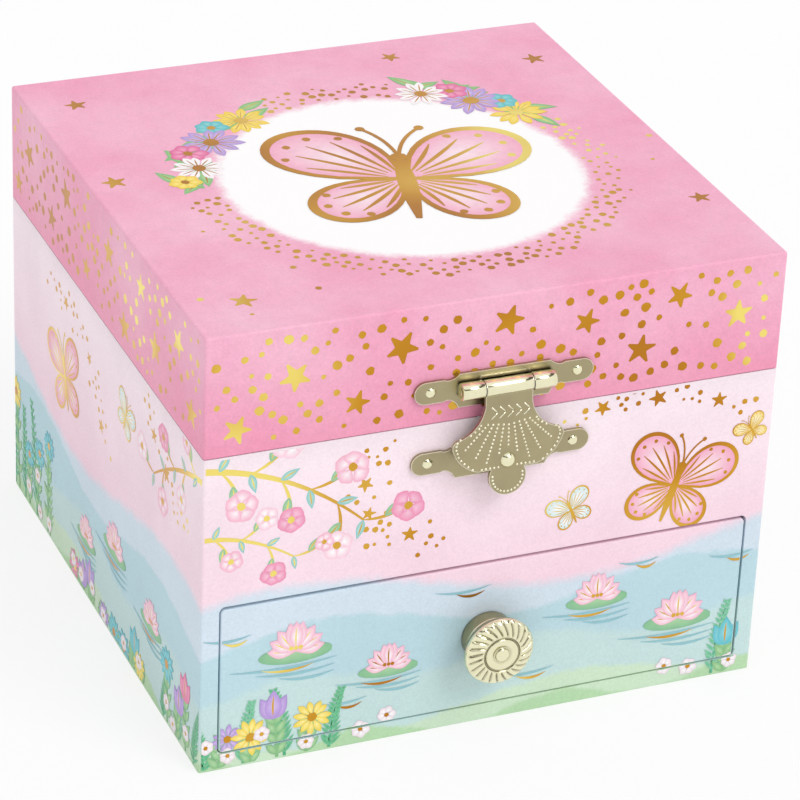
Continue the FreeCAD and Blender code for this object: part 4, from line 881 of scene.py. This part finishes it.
# %% Meadow and gold dust
petal_colours = (
    ("#d9c3ee", "#b494d8"),
    ("#9adbe2", "#5fc0cd"),
    ("#fff0a0", "#f3d549"),
    ("#f9b7d0", "#e879a8"),
)
greens = (("#4fae7d", "#7cc79a"), ("#7fbf86", "#b4dca8"), ("#5db58e", "#8fd0ac"))
little_white = (6, "#ffffff", "#efdde6")
# Stems start this far below the board's edge, and a meadow lower than the second number has no ferns.
below_edge, fern_meadow = -1.5, 10


def meadow(page, low, high, tall):
    """Ferns behind, then tulips and daisies, planted from low to high along the bottom."""
    ground = page.layer
    x, k = low, 0
    while x < high and tall > fern_meadow:
        page.layer = ground + 12 * (k % 2)
        fern_height = tall * page.dice.uniform(0.65, 1.0)
        fern(page, x, below_edge, fern_height, page.dice.uniform(-4, 4), *page.dice.choice(greens))
        x, k = x + page.dice.uniform(6.5, 9.0), k + 1
    x, k = low + 2.5, 0
    while x < high:
        page.layer = ground + 24 + 30 * (k % 2)
        height = tall * page.dice.uniform(0.4, 0.85)
        colours = page.dice.choice(petal_colours)
        if page.dice.randrange(3) == 0:
            tulip(page, x, below_edge, height, page.dice.uniform(-2, 2), *colours)
        else:
            top = sprig(page, x, below_edge, height, page.dice.uniform(-2, 2), "#83bb83", "#b7dcab")
            daisy(page, *top, page.dice.uniform(2.9, 3.8), 11, *colours)
        x, k = x + page.dice.uniform(4.8, 6.8), k + 1
    taken = []
    for _ in range(int((high - low) / 4)):
        x, y = page.dice.uniform(low, high), page.dice.uniform(1.5, max(4.0, tall * 0.4))
        if all(math.hypot(x - a, y - b) > 4.0 for a, b in taken):
            page.layer = ground + 84
            daisy(page, x, y, 1.7, *little_white)
            taken.append((x, y))
    page.layer = ground


def trail(page, line, spread, stars):
    """Gold dust along a line, with a few small stars."""
    level, taken = page.layer, []
    for i in stars:
        x, y = line[i][0] + page.dice.uniform(-1, 1), line[i][1] + page.dice.uniform(-1, 1)
        star(page, x, y, page.dice.uniform(2.6, 4.0))
        page.layer = level
        taken.append((x, y, 2.2))
    for x, y in line:
        for _ in range(8):
            a, b = x + page.dice.gauss(0, spread), y + page.dice.gauss(0, spread * 0.8)
            if all(math.hypot(a - c, b - d) > r + 0.9 for c, d, r in taken):
                dot(page, a, b, page.dice.uniform(0.6, 1.25))
                page.layer = level
                taken.append((a, b, 0.5))
    page.layer = level + 1


print("meadow and trail ready")

# %% Print the case
ROSE, ICE, LEMON = ("#fdeaf0", "#f2a3c0"), ("#ffffff", "#cfe6ea"), ("#fff7d8", "#f6d874")
# Trails: start, pull, end, steps, spread and stars. Branches: start, pull, end, steps, thickness and
# twig. Butterflies: place, size, lean and colours. Lilies and ripples: place and size. Meadows: from,
# to and height. Daisies: place along the bottom.
sides = {
    "front": {
        "trails": [
            ((-22, 60), (-30, 42), (-12, 41), 13, 1.7, (2, 6, 11)),
            ((18, 60), (28, 66), (48, 58), 10, 1.5, (1, 5, 9)),
        ],
        "branches": [
            ((-58, 62), (-40, 61), (-25, 47), 24, 1.4, 8.0),
            ((-58, 48), (-48, 49), (-38, 42), 16, 1.1, 5.6),
        ],
        "butterflies": [(36, 43, 25, -18, ROSE), (15.5, 41.5, 10, 24, ICE), (51, 52, 7.5, 30, LEMON)],
        "lilies": [(-37, 22.5, 7.5), (-19, 15.5, 6.2), (22, 22, 6.6), (39, 14.5, 7.4)],
        "ripples": [(-50, 27, 9), (-5, 28.5, 11), (8, 8.5, 12), (49, 26, 9), (30, 28, 8), (-28, 9.5, 10)],
        "meadows": [(-54, -29, 16), (47, 54, 18)],
        "daisies": [-24, -19, 42, 37],
    },
    "left": {
        "trails": [
            ((-30, 58), (-6, 60), (2, 40), 14, 1.9, (3, 8, 13)),
            ((26, 60), (34, 50), (46, 47), 10, 1.6, (2, 6)),
        ],
        "branches": [((58, 60), (44, 58), (30, 48), 20, 1.3, 6.5)],
        "butterflies": [(-22, 41, 22, 16, ROSE), (14, 51, 11, -22, ICE)],
        "lilies": [(8, 20, 7.0), (-9, 13, 6.0), (29, 16, 6.2)],
        "meadows": [(-55, -30, 30), (36, 54, 17), (-20, 26, 7)],
    },
    "right": {
        "trails": [((-40, 60), (-20, 46), (6, 56), 16, 1.9, (3, 8, 13))],
        "branches": [((-58, 57), (-44, 60), (-26, 50), 24, 1.4, 7.0)],
        "butterflies": [(24, 44, 24, -16, ROSE), (2, 40, 10, 20, LEMON)],
        "lilies": [(-30, 21, 7.0), (-10, 14, 6.2), (16, 19, 6.8)],
        "meadows": [(32, 55, 28), (-54, -36, 15), (-22, 26, 7)],
    },
    "back": {
        "trails": [((-44, 50), (-16, 44), (8, 46), 14, 1.9, (3, 8, 13))],
        "butterflies": [(-8, 42, 20, 14, ROSE), (40, 45, 13, -20, ICE)],
        "lilies": [(-32, 20, 7.0), (-8, 16, 6.0), (36, 19, 6.6)],
        "meadows": [(-54, -38, 22), (44, 54, 18), (-30, 36, 7)],
    },
}
for side, plan in sides.items():
    page = case_pages[side]
    for start, pull, end, steps, spread, stars in plan["trails"]:
        trail(page, bend(start, pull, end, steps), spread, stars)
    for start, pull, end, steps, thick, twig in plan.get("branches", ()):
        bloom_branch(page, bend(start, pull, end, steps), thick, twig)
    for x, y, size, lean, colours in plan["butterflies"]:
        butterfly(page, x, y, size, lean, *colours)
    for x, y, size in plan["lilies"]:
        lily(page, x, y, size)
    for x, y, wide in plan.get("ripples", ()):
        ripple(page, x, y, wide)
        ripple(page, x + 1.5, y - 1.0, wide * 0.5, stock="foil")
    for low, high, tall in plan["meadows"]:
        meadow(page, low, high, tall)
    for x in plan.get("daisies", ()):
        daisy(page, x, 3.0 + (x % 3), 1.9, *little_white)
print("case pages:", ", ".join(f"{name} {page.layer} layers" for name, page in case_pages.items()))

# %% [markdown]
# ## Cut the prints to their boards
# A print ends where its board's edge rounds over. On the front it is also cut along the drawer's
# opening. Bisecting the mesh along those lines and sorting the faces by their middles does both.

# %% Cut the prints to their boards


def print_piece(name, stack, finish, body, keep, cuts):
    """One mesh from a page's stack: cut along lines, kept where keep says, riding on a body."""
    places, polygons, colours = stack
    form = bmesh.new()
    tint = form.verts.layers.float_color.new("ink")
    corners = []
    for at, colour in zip(places, colours):
        corner = form.verts.new(at)
        corner[tint] = colour
        corners.append(corner)
    for polygon in polygons:
        form.faces.new([corners[i] for i in polygon])
    for point, direction in cuts:
        every = form.verts[:] + form.edges[:] + form.faces[:]
        bmesh.ops.bisect_plane(form, geom=every, plane_co=point, plane_no=direction, dist=1e-8)
    spare = [face for face in form.faces if not keep(face.calc_center_median())]
    bmesh.ops.delete(form, geom=spare, context="FACES")
    return make_piece(name, form, [finish], body, smooth=False, outward=False)


def within(page, low, high):
    """Says whether a place lies between two corners of a page."""

    def test(at):
        x, y = (at - page.origin).dot(page.right) / MM, (at - page.origin).dot(page.up) / MM
        return low[0] <= x <= high[0] and low[1] <= y <= high[1]

    return test


def lines_of(page, low, high):
    """The four cutting planes along the sides of a rectangle on a page."""
    across = [(page.origin + page.right * (x * MM), page.right) for x in (low[0], high[0])]
    return across + [(page.origin + page.up * (y * MM), page.up) for y in (low[1], high[1])]


edge_gap, panel_edge, side_gap, opening_top = 0.45, 0.3, 0.35, 34.0
panel_low, panel_high = (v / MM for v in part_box("drawer_front"))
panel = (
    (panel_low.x + panel_edge, panel_low.z + panel_edge),
    (panel_high.x - panel_edge, panel_high.z - panel_edge),
)
opening_half = panel_high.x + side_gap
opening = ((-opening_half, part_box("base_board")[1].z / MM), (opening_half, opening_top))
front = case_pages["front"]
on_panel, in_opening = within(front, *panel), within(front, *opening)
prints = []
for page in [*rail_pages.values(), lid_page, *case_pages.values()]:
    low = (page.low[0] + edge_gap, page.low[1] + edge_gap)
    high = (page.high[0] - edge_gap, page.high[1] - edge_gap)
    on_page, cuts = within(page, low, high), lines_of(page, low, high)
    # Where a print goes: the ending of its name, its body, and the part of the page that it keeps.
    shares = [("", "case" if page in case_pages.values() else "lid", on_page)]
    if page is front:
        cuts += lines_of(page, *panel) + lines_of(page, *opening)
        shares = [
            ("", "case", lambda at: on_page(at) and not in_opening(at)),
            ("_drawer", "drawer", lambda at: on_page(at) and on_panel(at)),
        ]
    for stock, finish in (("ink", ink), ("foil", foil)):
        if not page.stacks[stock][1]:
            continue
        for ending, body, keep in shares:
            name = f"{page.name}_{stock}{ending}"
            prints.append(print_piece(name, page.stacks[stock], finish, body, keep, cuts))
print("printed pieces:", len(prints), "faces:", sum(len(piece.data.polygons) for piece in prints))

# %% [markdown]
# ## Beading on the hasp
# The shell hasp is pressed in a die that raises a row of beads along its edge, ribs of beads that
# fan out from the neck, and five arrowheads across the neck. They are tiny domes and ridges on the
# sheet's face, laid out in the hasp's own slightly tilted plane.

# %% Beading on the hasp
tilt = Matrix.Rotation(math.radians(-4.0), 3, "X")
sheet_ahead = 0.9
bead_radius = 0.26
sheet_points = [tilt.inverted() @ (v.co - pin) / MM for v in nodes["clasp_hasp"].data.vertices]
outline = [(abs(p.x), -p.z) for p in sheet_points if abs(p.y + sheet_ahead) < 0.03 and -p.z > 2.0]
beading = bmesh.new()


def half_across(drop):
    """Half the hasp's width this many millimetres below its pin, where its outline has a point."""
    return max((width for width, d in outline if abs(d - drop) < 0.35), default=None)


def on_hasp(x, drop, rise):
    """A new corner this far below the pin, standing out from the sheet's face by rise."""
    return beading.verts.new(pin + tilt @ Vector((x, -sheet_ahead - rise, -drop)) * MM)


def raise_bead(x, drop, radius):
    """A low dome on the sheet."""
    tall = radius * 0.75
    rings = []
    for up, wide in ((-0.03, radius), (0.55, radius * 0.8), (0.9, radius * 0.42)):
        spots = [(x + wide * math.cos(a), drop - wide * math.sin(a)) for a in around(10)]
        rings.append([on_hasp(*spot, tall * up) for spot in spots])
    skin(beading, rings)
    crown = on_hasp(x, drop, tall)
    for k in range(10):
        beading.faces.new((rings[-1][k], rings[-1][(k + 1) % 10], crown))


beads = []
drop = 6.6
while drop < 15.3:
    width = half_across(drop)
    if width:
        beads += [(width - 0.75, drop), (0.75 - width, drop)]
    drop += 0.72 if width and drop > 9.5 else 0.55
# The ribs leave the stud free.
rib_pitch, stud_drop, stud_clear = 0.68, 14.1, 2.4
for k in range(-4, 5):
    foot = Vector((k * 2.05, 15.0 - k * k * 0.26))
    head = Vector((k * 1.0, 7.2 - abs(k) * 0.14))
    steps = round((foot - head).length / rib_pitch)
    for i in range(steps):
        x, d = head + (foot - head) * (i / (steps - 1))
        if math.hypot(x, d - stud_drop) > stud_clear:
            beads.append((x, d))
beads += [(x, 15.2) for x in (-5.0, -4.2, -3.4, -2.6, -1.8, 1.8, 2.6, 3.4, 4.2, 5.0)]
tab_radius, tab_drop = 2.9, 17.25
tab_turns = [math.radians(v) for v in range(-10, 191, 14)]
beads += [(tab_radius * math.cos(a), tab_drop + tab_radius * math.sin(a)) for a in tab_turns]
for x, d in beads:
    raise_bead(x, d, bead_radius)

arrow_drop, arrow_pitch, ridge_half, ridge_rise = 4.6, 1.55, 0.13, 0.16
for k in range(-2, 3):
    for lean in (1, -1):
        tip = Vector((k * arrow_pitch + 0.95, arrow_drop))
        barb = Vector((k * arrow_pitch - 0.25, arrow_drop + lean * 1.15))
        run = (barb - tip).normalized() * ridge_half
        ridge = []
        for end in (tip, barb):
            ridge += [on_hasp(end.x - s * run.y, end.y + s * run.x, -0.02) for s in (1, -1)]
            ridge.append(on_hasp(end.x, end.y, ridge_rise))
        for face in ((0, 3, 5, 2), (2, 5, 4, 1), (0, 2, 1), (3, 4, 5)):
            beading.faces.new([ridge[i] for i in face])
bead_finish, tree, shader, place = start_finish("burnished_bead_brass", Metallic=1.0)
rub = add(tree, "TexNoise", {"Vector": place, "Scale": per_mm(1.4), "Detail": 3.0})
shine = add(tree, "ValToRGB", {"Fac": rub}, [(0.3, "#ded8b8"), (0.7, "#fbf6df")])
gloss = add(tree, "MapRange", {"Value": rub, "To Min": 0.16, "To Max": 0.3})
connect(tree, shader, Base_Color=shine, Roughness=gloss)
make_piece("hasp_beading", beading, [bead_finish], "hasp")
print("beads on the hasp:", len(beads))

# %% [markdown]
# ## Trough behind the hasp's knuckle
# The upper plate is lanced where the hasp turns, and the tongue is dished back so that the knuckle
# can run in it. A profile of points across the trough, extruded along the pin, gives that.

# %% Trough behind the hasp's knuckle
trough_radius, trough_thick, trough_half, plate_thick = 1.88, 0.07, 4.62, 0.69
to_face = (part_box("clasp_lid_plate")[1].y - pin.y) / MM - plate_thick
swing = math.acos(to_face / trough_radius)
turns = [swing * (1 - k / 8) for k in range(17)]
section = [(trough_radius * math.sin(a), trough_radius * math.cos(a)) for a in turns]
section = [(trough_radius, to_face)] + section + [(-trough_radius, to_face)]
section += [(up, back + trough_thick) for up, back in reversed(section)]
trough = bmesh.new()
ends = []
for x in (-trough_half, trough_half):
    ends.append([trough.verts.new(pin + Vector((x, back, up)) * MM) for up, back in section])
skin(trough, ends)
for k in range(len(section) // 2 - 1):
    for end in ends:
        trough.faces.new((end[k], end[k + 1], end[-k - 2], end[-k - 1]))
clasp_trough = make_piece("clasp_trough", trough, [brass], "lid", smooth=False)
print("trough:", len(clasp_trough.data.polygons), "faces")

# %% [markdown]
# ## Rolled knuckles of the clasp
# The plate's two ears and the hasp's neck are rolled round the pin and polished after plating, so
# they are rounder and brighter than the flat sheet. Each is a profile of distance along the pin and
# radius, spun round the pin. The outer two end in the peened heads of the pin.

# %% Rolled knuckles of the clasp
outer_radius, inner_radius = 1.62, 1.52
outer_start, middle_half, round_steps = 4.68, 4.48, 48
peened = [(8.78, 1.0), (8.9, 0.93), (8.95, 0.86), (8.95, 0.45)]
peened += [(8.9, 0.42), (8.99, 0.37), (9.04, 0.26), (9.06, 0.1)]
plain_end = [(0.0, 0.9), (0.04, 0.96), (0.14, 1.0)]
outer = [(outer_start + x, r) for x, r in plain_end] + [(6.7, 1.0)] + peened
left_half = [(x - middle_half, r) for x, r in plain_end] + [(-2.0, 1.0)]
middle = left_half + [(-x, r) for x, r in reversed(left_half)]
knuckles = {
    "clasp_knuckles": ("lid", outer_radius, [outer, [(-x, r) for x, r in outer]]),
    "hasp_knuckle": ("hasp", inner_radius, [middle]),
}
for name, (body, radius, spans) in knuckles.items():
    tube = bmesh.new()
    for span in spans:
        rows = []
        for along, share in span:
            r = radius * share
            ring = [Vector((along, r * math.cos(a), r * math.sin(a))) for a in around(round_steps)]
            rows.append([tube.verts.new(pin + point * MM) for point in ring])
        skin(tube, rows)
        tube.faces.new(rows[0])
        tube.faces.new(rows[-1])
    knuckle = make_piece(name, tube, [polished], body)
    # The ends stay flat, and only the round sides are shaded smooth.
    for polygon in knuckle.data.polygons:
        polygon.use_smooth = len(polygon.vertices) == 4
    print(name, len(knuckle.data.polygons), "faces")

# %% [markdown]
# ## Turned knob
# The knob is cast and plated: a plain collar and neck, and a head with two dozen slightly swirled
# flutes round a raised ring and a small boss. It is a turned profile, so rings of points are spun
# round its axis, and the flutes are pressed in between two radii with a twist.

# %% Turned knob
knob_low, knob_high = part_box("drawer_knob")
knob_middle = (knob_low + knob_high) / 2
knob_foot = Vector((knob_middle.x, knob_high.y, knob_middle.z))
knob_reach = (knob_high.y - knob_low.y) / MM
knob_radius = (knob_high.x - knob_low.x) / 2 / MM
flutes, flute_points, flute_twist, flute_depth = 24, 14, 14.0, 0.42
face_from, fluted_from, rim_blend = 0.74, 0.53, 0.1
# Out from the drawer's face and radius, both as shares of the knob's reach and radius: first the
# collar and neck, then the swell of the head, its fluted face, the ring and the boss.
profile = [(0.0, 0.70), (0.03, 0.735), (0.34, 0.735), (0.38, 0.715), (0.4, 0.62), (0.49, 0.62)]
profile += [(0.5, 0.8), (0.53, 0.88), (0.62, 0.95), (0.69, 0.985), (0.74, 1.0), (0.795, 0.985)]
profile += [(0.845, 0.945), (0.887, 0.88), (0.921, 0.79), (0.947, 0.69), (0.96, 0.6), (0.945, 0.54)]
profile += [(0.91, 0.51), (0.91, 0.49), (0.945, 0.465), (0.962, 0.42), (0.957, 0.35), (0.937, 0.28)]
profile += [(0.922, 0.235), (0.927, 0.205), (0.968, 0.185), (0.99, 0.12), (1.0, 0.05)]
rings = []
for (out_a, r_a), (out_b, r_b) in zip(profile, profile[1:]):
    rings += [(out_a + (out_b - out_a) * s, r_a + (r_b - r_a) * s) for s in (0.0, 0.34, 0.67)]
rings.append(profile[-1])
spun = bmesh.new()
rows = []
for out, r in rings:
    fluted = out > face_from and r > fluted_from
    strength = min(1.0, (r - fluted_from) / rim_blend, max(0.0, 1.0 - r) / rim_blend) if fluted else 0.0
    row = []
    for angle in around(flutes * flute_points):
        petal = (flutes * angle + flute_twist * (1 - r)) / math.pi % 2 - 1
        press = strength * abs(petal) ** 3.5
        across = knob_radius * r * (1 - 0.035 * press)
        forward = knob_reach * out - flute_depth * press
        spot = Vector((across * math.cos(angle), -forward, across * math.sin(angle)))
        row.append(spun.verts.new(knob_foot + spot * MM))
    rows.append(row)
# The head and the collar's edge are polished; the collar and neck keep the plain plating.
for (out, _), low, high in zip(rings, rows, rows[1:]):
    for facet in skin(spun, [low, high]):
        facet.material_index = 0 if out > 0.73 or 0.33 < out < 0.39 else 1
spun.faces.new(rows[-1])
spun.faces.new(list(reversed(rows[0])))
fluted_knob = make_piece("fluted_knob", spun, [polished, brass], "drawer")
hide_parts("drawer_knob")
print("knob:", flutes, "flutes,", len(fluted_knob.data.polygons), "faces")

# %% [markdown]
# ## The dancer
# The figure is moulded plastic, painted by hand: pale skin, a pink bodice, pink shoes and brown hair.
# Its paint changes by height, so the material reads the height. The skirt is real tulle: three
# gathered rings of net, which are made as ruffled sheets.

# %% Painted figure
foot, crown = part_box("dancer_figure")
figure_height = (crown.z - foot.z) / MM
# Foot disc, shoes, legs, bodice and skin, each from this share of the height upwards.
zone_colours = [(0.0, "#f4f1ee"), (0.03, "#f2a0bf"), (0.1, "#f7d6c6"), (0.4, "#f29bbd"), (0.6, "#f7d6c6")]
painted, tree, shader, place = start_finish("hand_painted_styrene", Roughness=0.4, IOR=1.5)
parts = add(tree, "SeparateXYZ", {0: place})
share = add(tree, "MapRange", {"Value": parts.outputs["Z"], "From Min": foot.z, "From Max": crown.z})
zones = add(tree, "ValToRGB", {"Fac": share}, zone_colours)
zones.color_ramp.interpolation = "CONSTANT"
dab = add(tree, "TexNoise", {"Vector": place, "Scale": per_mm(1.5), "Detail": 3.0})
tone = add(tree, "MapRange", {"Value": dab, **MOSTLY, "To Min": 0.95, "To Max": 1.04})
connect(tree, shader, Base_Color=add(tree, "Mix", {FACTOR: 1.0, UNDER: zones, OVER: tone}, **TIMES))
figure_mesh = nodes["dancer_figure"].data
figure_mesh.materials.clear()
figure_mesh.materials.append(painted)
print("figure", round(figure_height, 1), "mm tall")

# %% Hair and trim of the dancer
turn_axis = Vector(joints["dancer_spin"]["pos_m"])
disc_thick = 1.0
tall = figure_height - disc_thick
ground = Vector((turn_axis.x, turn_axis.y, foot.z + disc_thick * MM))
head = ground + Vector((0, 0, 0.735 * tall)) * MM
head_radius = 0.062 * tall


def hair_ball(form, centre, radius, strands, groove, twist):
    """A ball of hair with combed grooves that turn round its crown."""
    rows = []
    for polar in [math.pi * i / 16 for i in range(1, 16)]:
        row = []
        for a in around(72):
            r = radius * (1 + groove * math.cos(strands * a + twist * polar) * math.sin(polar))
            flat = r * math.sin(polar)
            offset = Vector((flat * math.cos(a), flat * math.sin(a), r * math.cos(polar)))
            row.append(form.verts.new(centre + offset * MM))
        rows.append(row)
    skin(form, rows)
    form.faces.new(rows[0])
    form.faces.new(rows[-1])


def thin_ring(form, centre, radius, thick, lean=0.0):
    """A thin ring, leaned about X by an angle in degrees."""
    lean_by = Matrix.Rotation(math.radians(lean), 3, "X")
    rows = []
    for a in around(40):
        row = []
        for b in around(8):
            reach = radius + thick * math.cos(b)
            offset = Vector((reach * math.cos(a), reach * math.sin(a), thick * math.sin(b)))
            row.append(form.verts.new(centre + lean_by @ offset * MM))
        rows.append(row)
    skin(form, rows + rows[:1])


hair_paint, tree, shader, place = start_finish("brown_hair_paint", Roughness=0.45, IOR=1.5)
lock = add(tree, "TexNoise", {"Vector": place, "Scale": per_mm(0.5), "Detail": 3.0})
connect(tree, shader, Base_Color=add(tree, "ValToRGB", {"Fac": lock}, [(0.3, "#4f3022"), (0.7, "#7c5236")]))
hair = bmesh.new()
hair_ball(hair, head + Vector((0, 0.17, 0.13)) * head_radius * MM, head_radius, 24, 0.02, 3.0)
hair_ball(hair, head + Vector((0, 0.02, 0.072)) * tall * MM, 0.039 * tall, 9, 0.05, 5.0)
make_piece("dancer_hair", hair, [hair_paint], "dancer")

gold_trim = bmesh.new()
thin_ring(gold_trim, head + Vector((0, 0.016, 0.052)) * tall * MM, 0.032 * tall, 0.005 * tall, -14)
thin_ring(gold_trim, head + Vector((0, 0, -0.262)) * tall * MM, 0.0463 * tall, 0.0045 * tall)
make_piece("dancer_gold_trim", gold_trim, [foil], "dancer")

satin, tree, shader, place = start_finish("pink_satin_ribbon", Roughness=0.35, Sheen_Weight=0.5)
weft = add(tree, "TexNoise", {"Vector": place, "Scale": per_mm(0.4), "Detail": 2.0})
connect(tree, shader, Base_Color=add(tree, "ValToRGB", {"Fac": weft}, [(0.3, "#ec8db1"), (0.7, "#f7b3cb")]))
laces = bmesh.new()
# Each lace: its height and radius as shares of the figure, and its lean in degrees.
lace_rings = ((0.085, 0.0225, 12), (0.105, 0.0225, -12), (0.14, 0.0262, 0))
for side in (-1, 1):
    for up, around_ankle, lean in lace_rings:
        ankle = ground + Vector((side * 0.0245, 0, up)) * tall * MM
        thin_ring(laces, ankle, around_ankle * tall, 0.004 * tall, lean)
make_piece("dancer_shoe_laces", laces, [satin], "dancer")
print("dancer: hair, trim and laces")

# %% Face of the dancer
face = bmesh.new()
tint = face.verts.layers.float_color.new("ink")
steps_across = (-1, -0.5, 0, 0.5, 1)


def face_patch(rim, colour, lift):
    """A patch of paint on the head, its rim given by angles across and up, in degrees."""
    corners = []
    for across, up in rim:
        a, b = math.radians(across), math.radians(up)
        aim = Vector((math.sin(a) * math.cos(b), -math.cos(a) * math.cos(b), math.sin(b)))
        corner = face.verts.new(head + aim * head_radius * lift * MM)
        corner[tint] = linear(colour)
        corners.append(corner)
    face.faces.new(corners)


for side in (-1, 1):
    face_patch([(side * 33 + 9 * math.cos(a), -16 + 7 * math.sin(a)) for a in around(16)], "#f3a9ad", 1.010)
    # Closed lashes, then a brow: height, dip, thickness and colour.
    for up, dip, thick, colour in ((-1, 6, 3.4, "#3a2620"), (13, -5, 2.2, "#6b4632")):
        upper = [(side * 22 + 10 * s, up - dip * (1 - s * s)) for s in steps_across]
        lower = [(a, b - thick * (1 - 0.6 * abs(s))) for (a, b), s in zip(upper, steps_across)]
        face_patch(upper + lower[::-1], colour, 1.018)
face_patch([(7.5 * math.cos(a), -30 + 3.4 * math.sin(a)) for a in around(16)], "#d6456e", 1.016)
make_piece("dancer_face", face, [ink], "dancer")
print("dancer: face")

# %% Tulle skirt
# Fine net has holes of about 0.4 mm, between threads that let less light through.
net_hole = 0.4
tulle, tree, shader, place = start_finish("pink_nylon_tulle", Roughness=0.7, Sheen_Weight=0.4)
net = add(tree, "TexVoronoi", {"Vector": place, "Scale": per_mm(net_hole)}, feature="DISTANCE_TO_EDGE")
threads = {"From Min": 0.02, "From Max": 0.2, "To Min": 0.9, "To Max": 0.5}
thread = add(tree, "MapRange", {"Value": net, **threads})
dye = add(tree, "TexNoise", {"Vector": place, "Scale": per_mm(4), "Detail": 3.0})
hue = add(tree, "ValToRGB", {"Fac": dye}, [(0.3, "#f6a9c6"), (0.7, "#fbd0df")])
connect(tree, shader, Alpha=thread, Base_Color=hue)

skirt_low, skirt_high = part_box("dancer_tutu")
skirt_axis = (skirt_low + skirt_high) / 2
skirt_radius = (skirt_high.x - skirt_low.x) / 2
waist = 1.9 * MM
width = skirt_radius - waist
skirt_rings = 9
# Each ring of net: its lift and droop in millimetres, and its pleats.
layers = ((0.9, 0.3, 17), (0.45, 1.1, 19), (0.0, 2.2, 16))
for k, (lift, droop, pleats) in enumerate(layers):
    form = bmesh.new()
    grid = []
    for t in [i / (skirt_rings - 1) for i in range(skirt_rings)]:
        row = []
        for a in around(pleats * 16):
            fold = math.sin(pleats * a + k) + 0.2 * math.sin(2 * pleats * a + 2 * k)
            wander = noise.noise(Vector((math.cos(a) * 2, math.sin(a) * 2, k * 5.0)))
            z = skirt_high.z + (lift - 1.4 - droop * t * t + (0.9 * fold * t + 0.5 * wander * t)) * MM
            r = (waist + width * t) * (1 - 0.03 * t + 0.03 * t * math.sin(pleats * a + k + 1.2))
            row.append(form.verts.new((skirt_axis.x + r * math.cos(a), skirt_axis.y + r * math.sin(a), z)))
        grid.append(row)
    skin(form, grid)
    area = sum(face.calc_area() for face in form.faces)
    ring = make_piece(f"tulle_ring_{k + 1}", form, [tulle], "dancer", outward=False)
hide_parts("dancer_tutu")

# %% Finish
print("scene ready")
